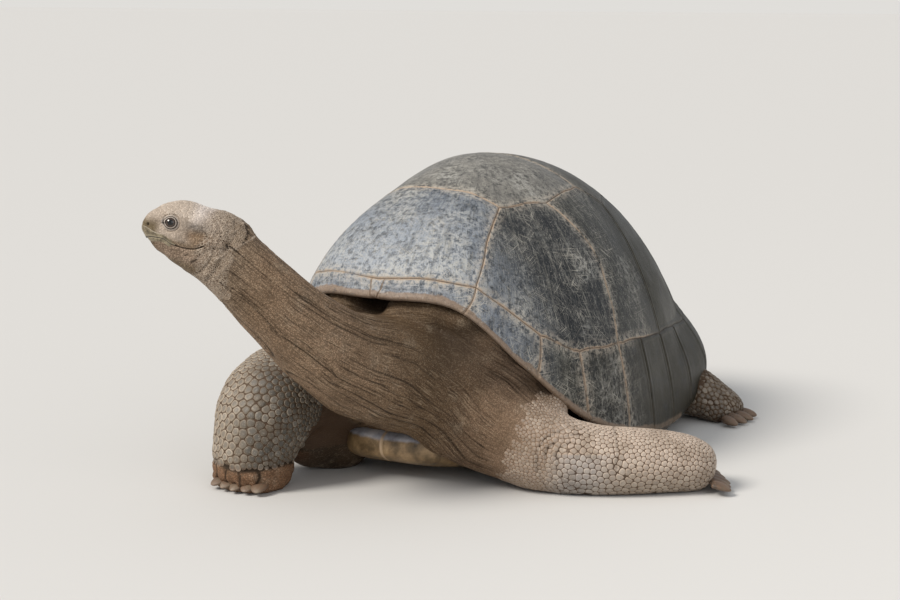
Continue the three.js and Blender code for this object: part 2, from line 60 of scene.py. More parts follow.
SHELL_HALF_LENGTH = 0.546
SHELL_HALF_WIDTH = 0.386
SHELL_TOP = 0.629
TOP_SHIFT = -0.109  # the crown stands this far from the shell's middle, towards the head
FRONT_WIDER = 0.043
SHELL_CENTRE = np.array([0, 0, 0.13])
EDGE_POWER = 2.33  # of the rounded oblong that the edge follows in plan
# Powers of the dome's curves towards the front, the sides and the rear.
PLAN_POWERS = (1.4, 2.18, 1.96)
LIFT_POWERS = (1.68, 1.68, 1.5)
# Over the hind legs the dome flares out: how far, at which angle from the head, and how wide.
FLARE, FLARE_AT, FLARE_REACH = 0.046, 2.32, 0.34
# Height of the carapace's lower edge at degrees round it, from over the neck to over the tail.
RIM_HEIGHTS = np.array([
    (0, 0.378), (24, 0.364), (42, 0.240), (56, 0.132), (66, 0.090), (80, 0.058),
    (98, 0.038), (114, 0.048), (128, 0.066), (142, 0.098), (160, 0.140), (180, 0.122),
])


def curve_through(points, samples):
    """A smooth curve through points, as an array: a centripetal Catmull-Rom spline."""
    ends = [2 * points[0] - points[1], *points, 2 * points[-1] - points[-2]]
    made = []
    for p0, p1, p2, p3 in zip(ends, ends[1:], ends[2:], ends[3:]):
        gaps = [math.sqrt(np.linalg.norm(b - a)) for a, b in ((p0, p1), (p1, p2), (p2, p3))]
        start = (p1 - p0) / gaps[0] - (p2 - p0) / (gaps[0] + gaps[1]) + (p2 - p1) / gaps[1]
        end = (p2 - p1) / gaps[1] - (p3 - p1) / (gaps[1] + gaps[2]) + (p3 - p2) / gaps[2]
        start, end = start * gaps[1], end * gaps[1]
        t = np.linspace(0, 1, samples, endpoint=False)[:, None]
        made.append(
            p1 + start * t + (3 * (p2 - p1) - 2 * start - end) * t**2
            + (2 * (p1 - p2) + start + end) * t**3
        )
    return np.vstack([*made, points[-1:]])


rim_curve = curve_through(
    np.stack([np.radians(RIM_HEIGHTS[:, 0]), RIM_HEIGHTS[:, 1] / 0.4], 1), 40
)


def rim_height(angle):
    away = np.abs(np.arctan2(np.sin(angle), np.cos(angle)))
    return np.interp(away, rim_curve[:, 0], rim_curve[:, 1] * 0.4)


def rim_point(angle):
    """The carapace's lower edge at an angle: 0 over the head, a quarter turn at the animal's left."""
    c, s = np.cos(angle), np.sin(angle)
    reach = (np.abs(c) ** EDGE_POWER + np.abs(s) ** EDGE_POWER) ** (-1 / EDGE_POWER)
    taper = 1 + FRONT_WIDER * np.sin(np.pi * np.clip(c * reach, -1, 1))
    return np.stack([
        s * reach * SHELL_HALF_WIDTH * taper, -c * reach * SHELL_HALF_LENGTH, rim_height(angle),
    ], -1)


def lengths(vectors):
    return np.linalg.norm(vectors, axis=1)


def bump(value, width):
    """A bell curve: 1 where value is 0, falling off over width to both sides."""
    return np.exp(-((value / width) ** 2))


def dome(disk, inset=0.0):
    """Points of the dome from disk coordinates: 0 at the crown, 1 at the edge, -v towards the head."""
    angle = np.arctan2(disk[:, 0], -disk[:, 1])
    rise = np.clip(1 - np.hypot(disk[:, 0], disk[:, 1]), -0.02, 1)
    c = np.cos(angle)
    front, rear = np.maximum(c, 0) ** 1.48, np.maximum(-c, 0) ** 1.48
    side = 1 - front - rear
    plan, lift = (p[0] * front + p[1] * side + p[2] * rear for p in (PLAN_POWERS, LIFT_POWERS))
    turn = np.maximum(rise, 0) * np.pi / 2
    out, high = np.cos(turn) ** (2 / plan), np.sin(turn) ** (2 / lift)
    edge = rim_point(angle)
    away = np.abs(np.arctan2(np.sin(angle), c))
    flare = FLARE * bump(away - FLARE_AT, FLARE_REACH)
    flare *= np.sin(np.pi * np.minimum((rise + 0.06) / 0.33, 1))
    wider = 1 + flare / np.hypot(edge[:, 0], edge[:, 1])
    point = np.stack([
        edge[:, 0] * out * wider,
        (TOP_SHIFT * (1 - out) + edge[:, 1] * out) * wider,
        edge[:, 2] + (SHELL_TOP - edge[:, 2]) * high,
    ], -1)
    inwards = SHELL_CENTRE - point
    inwards /= np.linalg.norm(inwards, axis=1, keepdims=True)
    return point + inwards * np.broadcast_to(inset, len(point))[:, None]


def on_disk(guess, residual):
    """Newton steps from guessed disk coordinates until residual, two values a point, is zero."""
    disk = np.array(guess, float)
    tiny = 1e-5
    for _ in range(14):
        f = residual(dome(disk))
        fu = (residual(dome(disk + [tiny, 0])) - f) / tiny
        fv = (residual(dome(disk + [0, tiny])) - f) / tiny
        scale = fu[:, 0] * fv[:, 1] - fu[:, 1] * fv[:, 0]
        scale = np.where(np.abs(scale) < 1e-9, 1e-9, scale)
        step = np.stack([
            (fv[:, 1] * f[:, 0] - fv[:, 0] * f[:, 1]) / scale,
            (fu[:, 0] * f[:, 1] - fu[:, 1] * f[:, 0]) / scale,
        ], -1)
        disk -= np.clip(step, -0.06, 0.06)
    return disk


def grain(points, size, seed=0):
    """Smooth noise from -1 to 1 whose lumps are about size across, in metres."""
    cell = points / size + seed * 17.31
    low = np.floor(cell).astype(np.int64)
    t = cell - low
    t = t * t * (3 - 2 * t)
    total = np.zeros(len(points))
    for corner in range(8):
        offset = np.array([corner & 1, corner >> 1 & 1, corner >> 2 & 1])
        ix, iy, iz = (low + offset).T
        mixed = (ix * 374761393 + iy * 668265263 + iz * 1274126177 + seed * 144665) & 0xFFFFFFFF
        mixed = ((mixed ^ (mixed >> 13)) * 1274126177) & 0xFFFFFFFF
        value = ((mixed ^ (mixed >> 16)) & 0xFFFF) / 32767.5 - 1
        total += value * np.prod(np.where(offset, t, 1 - t), axis=1)
    return total


def smooth_step(value, low, high):
    """0 up to low, 1 from high on, with a soft way between."""
    t = np.clip((value - low) / (high - low), 0, 1)
    return t * t * (3 - 2 * t)


def fall(value, low, high):
    """1 up to low, 0 from high on, with a soft way between."""
    return 1 - smooth_step(value, low, high)


# Corners of the plates on the left side, each by its place in plan, as the frame's plates have them.
SPINE_SEAMS = [(0.142, -0.292), (0.174, -0.010), (0.156, 0.166), (0.110, 0.338)]
SPINE_CORNERS = [(0.189, -0.174), (0.200, 0.072), (0.172, 0.258)]
SPINE_FOLDS = [(0, -0.309), (0, -0.068)]
COSTAL_BULGE = (0.278, -0.130)
# Where they meet the marginal plates: degrees round the edge, and how far up the dome.
BAND_DEGREES = [0, 29.5, 46, 57, 71.6, 84, 98.5, 112, 126, 141, 156, 171]
BAND_RISE = [0.135, 0.19, 0.187, 0.217, 0.262, 0.272, 0.268, 0.26, 0.245, 0.235, 0.225, 0.215]


def over_plan(places):
    target = np.array(places, float)
    return on_disk(target / 0.55, lambda p: p[:, :2] - target)


corners = {}
for name, places in (("seam", SPINE_SEAMS), ("corner", SPINE_CORNERS), ("fold", SPINE_FOLDS)):
    for i, at in enumerate(over_plan(places)):
        corners[f"{name}{i}"] = at
corners["bulge"] = over_plan([COSTAL_BULGE])[0]
for i, (degrees, rise) in enumerate(zip(BAND_DEGREES, BAND_RISE)):
    angle = math.radians(degrees)
    corners[f"band{i}"] = (1 - rise) * np.array([math.sin(angle), -math.cos(angle)])
for name in list(corners):
    corners["-" + name] = corners[name] * [-1, 1]  # the same corner on the animal's right


SEAM_STEP = 0.003


def seam_line(names):
    """Disk coordinates along the seam through named corners: the dome cut by planes from its centre."""
    disk = np.array([corners[n] for n in names])
    rays = dome(disk) - SHELL_CENTRE
    length = lengths(np.diff(rays, axis=0)).sum()
    count = max(int(length / SEAM_STEP + 1e-6), 4)  # a whole number of steps never falls just short
    path = curve_through(rays, 24) if len(names) > 2 else rays
    guess = curve_through(disk, 24) if len(names) > 2 else disk
    t = np.linspace(0, 1, count)
    at = np.linspace(0, 1, len(path))
    ray = np.stack([np.interp(t, at, path[:, k]) for k in range(3)], -1)
    start = np.stack([np.interp(t, at, guess[:, k]) for k in range(2)], -1)
    ray /= np.linalg.norm(ray, axis=1, keepdims=True)
    across = np.cross(ray, [0.31, -0.17, 0.93])  # any way that no ray runs
    across /= np.linalg.norm(across, axis=1, keepdims=True)
    along = np.cross(ray, across)

    def off_ray(points):
        v = points - SHELL_CENTRE
        return np.stack([(v * across).sum(1), (v * along).sum(1)], -1)

    line = on_disk(start, off_ray)
    # Seams wander by 2 to 3 mm, the same for both plates beside them, and meet at the same corners.
    wander = 4 * t * (1 - t) / 0.5
    points = dome(line)
    drift = np.stack([grain(points, 0.055, 3), grain(points, 0.055, 4)], -1)
    return line + drift * 0.005 * np.minimum(wander, 1)[:, None]


seams = {}


def seam(names):
    """A seam, worked out once; named backwards it is the same line the other way."""
    key, back = tuple(names), tuple(reversed(names))
    if back in seams:
        return seams[back][::-1]
    if key not in seams:
        seams[key] = seam_line(names)
    return seams[key]


def mirrored_names(names):
    return [n[1:] if n.startswith("-") else "-" + n for n in names]


def sides_of(chain):
    """A plate's sides from its corners in turn; at a fold or a bulge a side only bends."""
    names = chain.split()
    sides, side = [], names[:1]
    for name in [*names[1:], names[0]]:
        side.append(name)
        if not name.startswith(("fold", "bulge")):
            sides.append(side)
            side = [name]
    return sides


# Each plate's corners in turn. A minus marks a corner on the animal's right.
PLATE_CORNERS = {
    "vertebral_1": "band0 band1 seam0 fold0 -seam0 -band1",
    "vertebral_2": "-seam0 fold0 seam0 corner0 seam1 fold1 -seam1 -corner0",
    "vertebral_3": "-seam1 fold1 seam1 corner1 seam2 -seam2 -corner1",
    "vertebral_4": "-seam2 seam2 corner2 seam3 -seam3 -corner2",
    "vertebral_5": "-seam3 seam3 band10 band11 -band11 -band10",
    "costal_left_1": "band1 seam0 corner0 bulge band4 band3 band2",
    "costal_left_2": "corner0 seam1 corner1 band6 band5 band4 bulge",
    "costal_left_3": "corner1 seam2 corner2 band8 band7 band6",
    "costal_left_4": "corner2 seam3 band10 band9 band8",
}
plate_seams = {}
for name, chain in PLATE_CORNERS.items():
    plate_seams[name] = sides_of(chain)
    if name.startswith("costal"):
        plate_seams[name.replace("left", "right")] = [mirrored_names(side) for side in sides_of(chain)]


def dome_relief(disk, offset):
    """Points of the dome raised by offset along its normal."""
    tiny = 1e-4
    at = dome(disk)
    normal = np.cross(dome(disk + [tiny, 0]) - at, dome(disk + [0, tiny]) - at)
    normal /= np.maximum(np.linalg.norm(normal, axis=1, keepdims=True), 1e-12)
    normal *= np.sign((normal * (at - SHELL_CENTRE)).sum(1, keepdims=True))
    return at + normal * offset[:, None]


def distance_to(points, line):
    """Each point's distance to the nearest of a line's closely set points."""
    best = np.full(len(points), 9.0)
    for start in range(0, len(points), 4000):
        part = points[start:start + 4000]
        gap = ((part[:, None] - line[None]) ** 2).sum(2)
        best[start:start + 4000] = np.sqrt(gap.min(1))
    return best


def seam_profile(gap):
    """Height beside a seam: a groove, a low lip where the plate thickens, and a second faint groove."""
    groove = -0.0022 * bump(gap, 0.0022)
    lip = 0.0005 * bump(gap - 0.006, 0.003)
    second = -0.0006 * bump(gap - 0.0115, 0.0018)
    return groove + lip + second


def worn_relief(points, gap):
    """Low waves and dents of old horn, with faint growth rings that follow the seams."""
    waves = 0.0012 * grain(points, 0.09, 5) + 0.0005 * grain(points, 0.032, 6)
    dents = 0.00018 * grain(points, 0.009, 7)
    rings = 0.00022 * np.sin(gap / 0.0085 * 2 * np.pi + 2.2 * grain(points, 0.05, 8))
    return waves + dents + rings * np.exp(-gap / 0.045) * smooth_step(gap, 0.008, 0.02)


def piece_of(name, mesh):
    """Puts a mesh into the scene as a piece, smoothly shaded."""
    mesh.shade_smooth()
    piece = bpy.data.objects.new(name, mesh)
    scene.collection.objects.link(piece)
    return piece


def new_piece(name, points, faces):
    mesh = bpy.data.meshes.new(name)
    mesh.from_pydata([tuple(p) for p in points], [], [tuple(f) for f in faces])
    mesh.validate()
    return piece_of(name, mesh)


def store(piece, name, values):
    """Keeps a value, or a vector, for each vertex, which the materials read."""
    kind = "FLOAT" if values.ndim == 1 else "FLOAT_VECTOR"
    attribute = piece.data.attributes.new(name, kind, "POINT")
    field = "value" if values.ndim == 1 else "vector"
    attribute.data.foreach_set(field, values.astype(np.float32).ravel())


def ring_faces(rows, count, first=0):
    """Faces between rows of count points that each close round; first is the first row's start."""
    i = np.arange(count)
    nxt = (i + 1) % count
    return [
        f for start in range(first, first + (rows - 1) * count, count)
        for f in zip(start + i, start + nxt, start + count + nxt, start + count + i)
    ]


def fan_faces(start, count, tip):
    """Faces between a closed row of count points and one point."""
    i = np.arange(count)
    return list(zip(start + i, start + (i + 1) % count, np.full(count, tip)))


def facing(faces, three, outward):
    """The faces, turned over if three corners in their order do not face outward."""
    a, b, c = three
    return [f[::-1] for f in faces] if np.dot(np.cross(b - a, c - a), outward) < 0 else faces


def wear_direction(disk):
    """Coordinates that run round the shell and down it, so that streaks of wear follow its slope."""
    angle = np.arctan2(disk[:, 0], -disk[:, 1])
    return np.stack([angle * 0.45, np.hypot(disk[:, 0], disk[:, 1]) * 0.75, 0 * angle], -1)


# Rings of points in a plate: closest beside its seams, then even steps, and how deep its skirt goes.
EDGE_GAPS = [0, 0.0008, 0.0016, 0.0026, 0.0038, 0.0052, 0.0068, 0.0086, 0.0104, 0.0124, 0.015, 0.018]
PLATE_STEP = 0.004
SKIRT = 0.004


def plate(name):
    """One horny plate: rings of points from its seams in to its middle, with a skirt into the groove."""
    line = np.vstack([seam(s)[:-1] for s in plate_seams[name]])
    middle = line.mean(0)
    radius = lengths(dome(line) - dome(middle[None])).mean()
    gaps = [*EDGE_GAPS, *np.arange(0.022, radius - PLATE_STEP, PLATE_STEP)]
    shares = [1 - g / radius for g in gaps]
    rings = [middle + (line - middle) * s for s in shares]
    disk = np.vstack([rings[0], *rings, middle[None]])
    edge = dome(line)
    gap = distance_to(dome(disk), edge)
    offset = seam_profile(gap) + worn_relief(dome(disk), gap)
    offset[:len(line)] -= SKIRT
    points = dome_relief(disk, offset)
    n, rows = len(line), len(rings) + 1
    faces = ring_faces(rows, n) + fan_faces((rows - 1) * n, n, rows * n)
    three = points[n], points[n + n // 3], points[n + 2 * n // 3]
    piece = new_piece("plate_" + name, points, facing(faces, three, points[-1] - SHELL_CENTRE))
    store(piece, "seam_gap", gap)
    store(piece, "streak", wear_direction(disk))
    return piece


def linear(colour):
    """A hex colour as the linear RGBA that shaders use."""
    parts = [int(colour[i:i + 2], 16) / 255 for i in (1, 3, 5)]
    return [c / 12.92 if c <= 0.04045 else ((c + 0.055) / 1.055) ** 2.4 for c in parts] + [1]


def add_node(material, kind, sockets=None, output=0, stops=None, **settings):
    """Adds a shader node with its settings and links, and gives one of its outputs.

    sockets gives its inputs by name or number: a value to set, or an output to link."""
    node = material.node_tree.nodes.new("ShaderNode" + kind)
    for name, value in settings.items():
        setattr(node, name, value)
    for name, value in (sockets or {}).items():
        if isinstance(value, bpy.types.NodeSocket):
            material.node_tree.links.new(value, node.inputs[name])
        else:
            node.inputs[name].default_value = value
    if stops:
        ramp = node.color_ramp.elements
        while len(ramp) < len(stops):
            ramp.new(0.5)
        for element, (position, colour) in zip(ramp, stops):
            element.position = position
            element.color = linear(colour)
    return node.outputs[output]


def new_material(name, **finish):
    """A material and its surface shader, with the constant finish set on the shader's own sockets."""
    material = bpy.data.materials.new(name)
    material.use_nodes = True
    shader = material.node_tree.nodes["Principled BSDF"]
    for socket, value in finish.items():
        shader.inputs[socket.replace("_", " ")].default_value = value
    return material, shader


def coated(material, colour, seen, layers):
    """Colours laid over a first one, as dirt, wear and stains lie on the real thing.

    Each layer is a colour and the places that it shows in: a name in seen, the value at which it
    starts, the value at which it is full, and how much it covers there. Places multiply."""
    for tint, *places in layers:
        share = None
        for name, start, full, most in places:
            cover = add_node(material, "MapRange", {0: seen[name], 1: start, 2: full, 4: most},
                             interpolation_type="SMOOTHSTEP")
            share = add_node(material, "Math", {0: share, 1: cover}, operation="MULTIPLY") if share else cover
        colour = add_node(material, "Mix", {
            0: share, 6: colour, 7: linear(tint) if isinstance(tint, str) else tint,
        }, 2, data_type="RGBA")
    return colour


def finished(material, shader, colour, reliefs, strength, deep):
    """Links the colour, and a bump of strength and depth from reliefs: outputs with their weights."""
    height = 0.0
    for relief, weight in reliefs:
        height = add_node(material, "Math", {0: relief, 1: weight, 2: height}, operation="MULTIPLY_ADD")
    normal = add_node(material, "Bump", {"Height": height, "Strength": strength, "Distance": deep})
    material.node_tree.links.new(colour, shader.inputs["Base Color"])
    material.node_tree.links.new(normal, shader.inputs["Normal"])


def streaks(material, along, turn, width, length, detail, rough):
    """Noise drawn out in lines, of a width and length in mm, at a turn to the way that along runs."""
    turned = add_node(material, "VectorRotate", {"Vector": along, "Angle": turn}, rotation_type="Z_AXIS")
    stretch = (1000 / width, 1000 / length, 0)
    drawn = add_node(material, "VectorMath", {0: turned, 1: stretch}, operation="MULTIPLY")
    return add_node(material, "TexNoise", {
        "Vector": drawn, "Scale": 1, "Detail": detail, "Roughness": rough,
    })


# Keratin, worn by years of rubbing: satin slate, bleached and dusty in front under a painted sky sheen, olive
# with dirt and painted shade behind.
# Fine pale scratches run every way, streaks run down the slope, and pale bone shows in the seams.
horn, shader = new_material("worn keratin of the shell", Roughness=0.42, IOR=1.54, Specular_IOR_Level=0.22)
spot = add_node(horn, "NewGeometry")
seen = {
    name: add_node(horn, "Attribute", output=output, attribute_name=name) for name, output in (
        ("seam_gap", "Fac"), ("seam_kept", "Fac"), ("border", "Fac"), ("horn", "Vector"),
        ("streak", "Vector"),
    )
}
# Blotches, each with the size of its lumps in mm, from clouds of dust to the grain of worn horn.
for name, size, detail, rough in (
    ("cloud", 143, 5, 0.62), ("cluster", 77, 5, 0.7), ("patch", 41.7, 6, 0.7), ("break", 38.5, 5, 0.7),
    ("mottle", 11.1, 8, 0.75), ("wobble", 8.3, 3, 0.6), ("fine", 3.85, 5, 0.7),
):
    seen[name] = add_node(horn, "TexNoise", {
        "Vector": spot, "Scale": 1000 / size, "Detail": detail, "Roughness": rough,
    })
# Streaks down the slope, then scratches in four directions: width and length in mm. Real scratches
# are half a millimetre wide, too fine to show, so these are 1.3 mm.
for name, *pattern in (
    ("hatch", 0, 1.8, 38, 4, 0.7), ("runs", 0, 14, 200, 5, 0.6),
    ("scratch", 0.25, 1.3, 111, 1, 0.5), ("scratch", 0.95, 1.3, 77, 1, 0.5),
    ("scratch", 1.65, 1.3, 100, 1, 0.5), ("scratch", 2.45, 1.3, 67, 1, 0.5),
):
    lines = streaks(horn, seen["streak"], *pattern)
    if name == "scratch" and name in seen:
        lines = add_node(horn, "Math", {0: lines, 1: seen[name]}, operation="MAXIMUM")
    seen[name] = lines
# The pale bone of a seam has an uneven edge.
ragged = add_node(horn, "Math", {0: seen["wobble"], 1: 0.006, 2: -0.003}, operation="MULTIPLY_ADD")
seen["ragged_gap"] = add_node(horn, "Math", {0: seen["seam_gap"], 1: ragged})
bone = add_node(horn, "ValToRGB", {"Fac": seen["fine"]}, stops=[
    (0.3, "#86725f"), (0.5, "#b09a84"), (0.7, "#cfc0ae"),
])
CLEAN, KEPT = ("seam_kept", -0.1, 1, 1), ("seam_kept", 0, 1, 1)  # fades out towards the rear, which is dirty and darkened with painted shade
colour = coated(horn, seen["horn"], seen, [
    ("#23262b", ("patch", 0.5, 0.3, 0.6)),
    ("#1d2024", ("mottle", 0.54, 0.36, 0.75)),
    ("#b4b2ab", ("cloud", 0.44, 0.66, 1), ("mottle", 0.44, 0.6, 0.7), CLEAN),
    ("#b0ada4", ("hatch", 0.54, 0.70, 0.65), CLEAN),
    ("#1f2225", ("hatch", 0.47, 0.3, 0.75)),
    ("#9a978c", ("runs", 0.52, 0.7, 0.25), CLEAN),
    ("#2c2d2c", ("runs", 0.48, 0.32, 0.4)),
    ("#c4beb1", ("scratch", 0.61, 0.72, 0.9), ("cluster", 0.36, 0.68, 0.9), CLEAN),  # scratches
    ("#b0a698", ("seam_gap", 0.024, 0.003, 0.6), ("mottle", 0.44, 0.56, 1), KEPT),  # dust by the seams
    (bone, ("ragged_gap", 0.0042, 0.0018, 0.85), ("break", 0.36, 0.54, 1), KEPT),
    ("#4b392b", ("seam_gap", 0.0016, 0.0004, 0.7), ("mottle", 0.4, 0.5, 1)),  # the crack in the middle
    ("#85715f", ("border", 0, 1, 1), ("mottle", 0.3, 0.45, 0.9)),  # the rubbed lower border
    ("#2b2a28", ("fine", 0.54, 0.68, 0.6)),
    ("#b4afa4", ("fine", 0.43, 0.3, 0.55), CLEAN),
    ("#2b2718", ("seam_kept", 0.8, 0.15, 0.6), ("patch", 0.25, 0.6, 1)),  # soil and painted shade on the rear
])
finished(horn, shader, colour, [(seen["fine"], 1), (seen["hatch"], 0.5), (seen["scratch"], -0.6)], 0.4, 0.001)
gloss = add_node(horn, "MapRange", {0: seen["cloud"], 1: 0.3, 2: 0.7, 3: 0.36, 4: 0.6})
horn.node_tree.links.new(gloss, shader.inputs["Roughness"])

PLATE_COLOURS = {  # down the back, then the side plates
    "vertebral": ["#666d77", "#75726c", "#5a574f", "#4c493f", "#434034"],
    "costal": ["#212428", "#2e2e2a", "#38362c", "#353328"],
}


def horn_colour(points, colour):
    """A plate's colour: bleached and bluer towards the shell's front under a painted sky sheen, and browner
    and darker low down behind, with dirt and painted shade.
    """
    front = smooth_step(-points[:, 1], 0.30, 0.50)[:, None]
    low = (smooth_step(points[:, 1], -0.1, 0.3) * smooth_step(-points[:, 2], -0.32, -0.12))[:, None]
    made = np.tile(np.array(linear(colour)[:3]), (len(points), 1))
    made += (np.array(linear("#b9c0c9")[:3]) - made) * 0.5 * front
    return made + (np.array(linear("#3a3424")[:3]) - made) * 0.6 * low


def seam_kept(points):
    """How clearly seams and pale marks show: worn away and dirty towards the tail, and dimmed there for
    painted shade.
    """
    return 1 - 0.85 * smooth_step(points[:, 1], -0.10, 0.10)


def coordinates(piece):
    found = np.empty(len(piece.data.vertices) * 3, np.float32)
    piece.data.vertices.foreach_get("co", found)
    return found.reshape(-1, 3).astype(float)


for name in plate_seams:
    piece = plate(name)
    kind, number = name.split("_")[0], int(name[-1])
    at = coordinates(piece)
    store(piece, "horn", horn_colour(at, PLATE_COLOURS[kind][number - 1]))
    store(piece, "seam_kept", seam_kept(at))
    piece.data.materials.append(horn)
    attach(piece, "root")
    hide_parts(name)

# ---- Carapace edge ----
# The marginal plates that ring the shell, and the bone under all plates. The edge turns in under
# itself, thick at the bridge between the legs, and its rubbed lower border shows pinkish bone.

NUCHAL_HALF = math.radians(2.2)  # half the small plate over the neck
WALL = 0.024
BED_DEPTH = 0.0045
COLUMN_TURN = 0.0105  # between points round the edge, in radians
ROW_STEP = 0.0045
# The seam between the large plates and the marginals, as a radius for each angle from the head.
far_line = seam(["band11", "-band11"])
band = [seam([f"band{i}", f"band{i + 1}"])[:-1] for i in range(11)]
band = np.vstack([*band, far_line[:1], far_line[np.arctan2(far_line[:, 0], -far_line[:, 1]) > 0]])
band_angle = np.arctan2(band[:, 0], -band[:, 1])
order = np.argsort(band_angle)
band_angle, band_radius = band_angle[order], np.hypot(band[:, 0], band[:, 1])[order]

seam_angles = np.sort([s * a for s in (1, -1) for a in [NUCHAL_HALF, *np.radians(BAND_DEGREES[1:])]])
columns = []
for a, b in zip(seam_angles, [*seam_angles[1:], seam_angles[0] + 2 * np.pi]):
    count = max(int((b - a) / COLUMN_TURN), 4) + 12
    t = np.linspace(0, 1, count, endpoint=False)
    columns.append(a + (b - a) * (t - 0.13 * np.sin(2 * np.pi * t)))
columns = np.concatenate(columns)
around = np.arctan2(np.sin(columns), np.cos(columns))
band_at = np.interp(np.abs(around), band_angle, band_radius)
# Seams between marginals lean as they run down to the edge, here by so many degrees towards the nose.
SEAM_DEGREES = [0, 2.2, 14, 29.5, 46, 57, 71.6, 180]
SEAM_LEANS = [0, 1.5, 1.0, 3.6, 1.8, -1.0, 0, 0]
leans = np.radians(np.interp(np.abs(np.degrees(around)), SEAM_DEGREES, SEAM_LEANS)) * np.sign(around)


def disk_at(radius, low=0):
    """A ring of places at a share of the shell's radius; low is 1 at the foot of the marginals."""
    turn = around - leans * low
    return np.stack([np.sin(turn) * radius, -np.cos(turn) * radius], -1)


def tuck(step):
    """The edge's underside: step 0 at its outer border, 1 where the inner wall starts."""
    edge = dome(disk_at(np.ones(len(around)), 1))
    bridge = np.exp(-(((np.abs(around) - 1.52) / 0.42) ** 4))
    inward = (0.030 + 0.034 * bridge) * step
    drop = 0.036 * bridge * math.sin(step * math.pi / 2) - 0.004 * step * (1 - bridge)
    flat = np.hypot(edge[:, 0], edge[:, 1])
    shrunk = 1 - inward / flat
    return np.stack([edge[:, 0] * shrunk, edge[:, 1] * shrunk, edge[:, 2] - drop], -1)


edge_line = dome(disk_at(np.ones(len(around))))
side_length = lengths(dome(disk_at(band_at)) - edge_line)
EDGE_ROUND = 0.010
rows = []  # each row is the points round the shell at one level, with their distance to a seam


def wall_row(radius):
    flat = np.zeros(len(around))
    return dome(disk_at(np.full(len(around), radius), 1), WALL), flat + 0.05, flat + 0.1


def marginal_row(up):
    """The marginal plates at a distance up from the edge, with grooves between the plates."""
    disk = disk_at(1 - (1 - band_at) * up / side_length, (1 - up / side_length) ** 1.4)
    points = dome(disk)
    turn = around[None] - seam_angles[:, None]
    turn = np.abs(np.arctan2(np.sin(turn), np.cos(turn))).min(0)
    gap_seam = turn * np.hypot(points[:, 0], points[:, 1])
    gap = np.minimum(gap_seam, side_length - up)
    short = np.maximum(EDGE_ROUND - up, 0)
    rounding = EDGE_ROUND - np.sqrt(EDGE_ROUND**2 - short**2)
    lip = 0.0034 * bump(up - 0.011, 0.010) - 0.0016 * bump(up - 0.025, 0.004)
    lip += 0.0009 * grain(points, 0.010, 14) * fall(up, 0.016, 0.024)
    front = fall(np.abs(around), 1.1, 1.5)
    offset = seam_profile(gap) + worn_relief(points, gap) - rounding + lip * front
    return dome_relief(disk, offset), gap, up + 0 * gap


rows += [wall_row(radius) for radius in (0.2, 0.45, 0.66, 0.8, 0.88, 0.93)]
flat = np.zeros(len(around))
rows += [(tuck(step), flat + 0.05, flat) for step in (1, 0.85, 0.7, 0.55, 0.42, 0.34)]
lower = np.linspace(0, 1, int((side_length.max() - 0.01) / ROW_STEP)) ** 1.15
rows += [marginal_row((side_length - 0.0105) * share) for share in lower]
rows += [marginal_row(side_length - g) for g in (0.0088, 0.0068, 0.0052, 0.0038, 0.0026, 0.0016, 0.0008, 0)]
# The bed under the large plates is the floor of their seams.
for share in (1, 0.97, *np.linspace(0.93, 0.04, 26)):
    bed = disk_at(band_at * share)
    rows.append((dome_relief(bed, flat - BED_DEPTH), flat, flat + 0.1))
points = np.vstack([row[0] for row in rows])
carapace = new_piece("carapace_edge", points, ring_faces(len(rows), len(around)))
store(carapace, "seam_gap", np.concatenate([row[1] for row in rows]))
angle = np.arctan2(points[:, 0], -points[:, 1])
store(carapace, "streak", np.stack([angle * 0.45, 0.6 - points[:, 2], 0 * angle], -1))
# Round the edge from over the head: pale blue-grey in front, bleached with a painted sky sheen, to dark olive
# behind, dirty and in painted shade.
DEGREES_AROUND = [0, 28, 42, 56, 74, 90, 112, 180]
EDGE_COLOURS = ["#8a919b", "#757b84", "#33332e", "#27251e", "#242119", "#221f14", "#221e12", "#221e12"]
edge_colours = np.array([linear(colour)[:3] for colour in EDGE_COLOURS])
degrees = np.abs(np.degrees(angle))
store(carapace, "horn", np.stack([np.interp(degrees, DEGREES_AROUND, c) for c in edge_colours.T], 1))
store(carapace, "seam_kept", 1 - 0.85 * smooth_step(degrees, 58, 84))
above_edge = np.concatenate([row[2] for row in rows])
uneven = 0.004 * grain(points, 0.03, 12) + 0.003 * grain(points, 0.007, 13)
store(carapace, "border", fall(above_edge + uneven, 0.019, 0.026) * (degrees < 110))
carapace.data.materials.append(horn)
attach(carapace, "root")
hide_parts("carapace")

# ---- Skin: its form ----
# One unbroken hide covers head, neck, trunk, legs and tail. It hangs loose in folds over muscle and
# bone; the frame's nodes of flesh give its form, blended where they meet and smoothed.

FLESH = [
    "trunk", "neck_base", "neck_upper", "head", "lower_jaw", "foreleg_left_upper",
    "foreleg_left_lower", "foreleg_left_foot", "foreleg_right_upper", "foreleg_right_lower",
    "foreleg_right_foot", "hindleg_left_thigh", "hindleg_left_foot", "hindleg_right_thigh",
    "hindleg_right_foot", "tail",
]
SKIN_CELL = 0.0044
GROWN = 0.0006  # closes the thin gaps between nodes
OFF_FLOOR = 0.0004  # the hide's underside stays this far above the floor
joined = bmesh.new()
for name in [*FLESH, "beak_upper", "beak_lower", "eye_left", "eye_right"]:
    solid = bmesh.new()
    solid.from_mesh(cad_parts[name].data)
    bmesh.ops.remove_doubles(solid, verts=solid.verts, dist=1e-5)
    bmesh.ops.recalc_face_normals(solid, faces=solid.faces)
    for v, outward in [(v, v.normal.copy()) for v in solid.verts]:
        v.co += outward * GROWN
    own = bpy.data.meshes.new(name + "_grown")
    solid.to_mesh(own)
    joined.from_mesh(own)
    solid.free()
    bpy.data.meshes.remove(own)
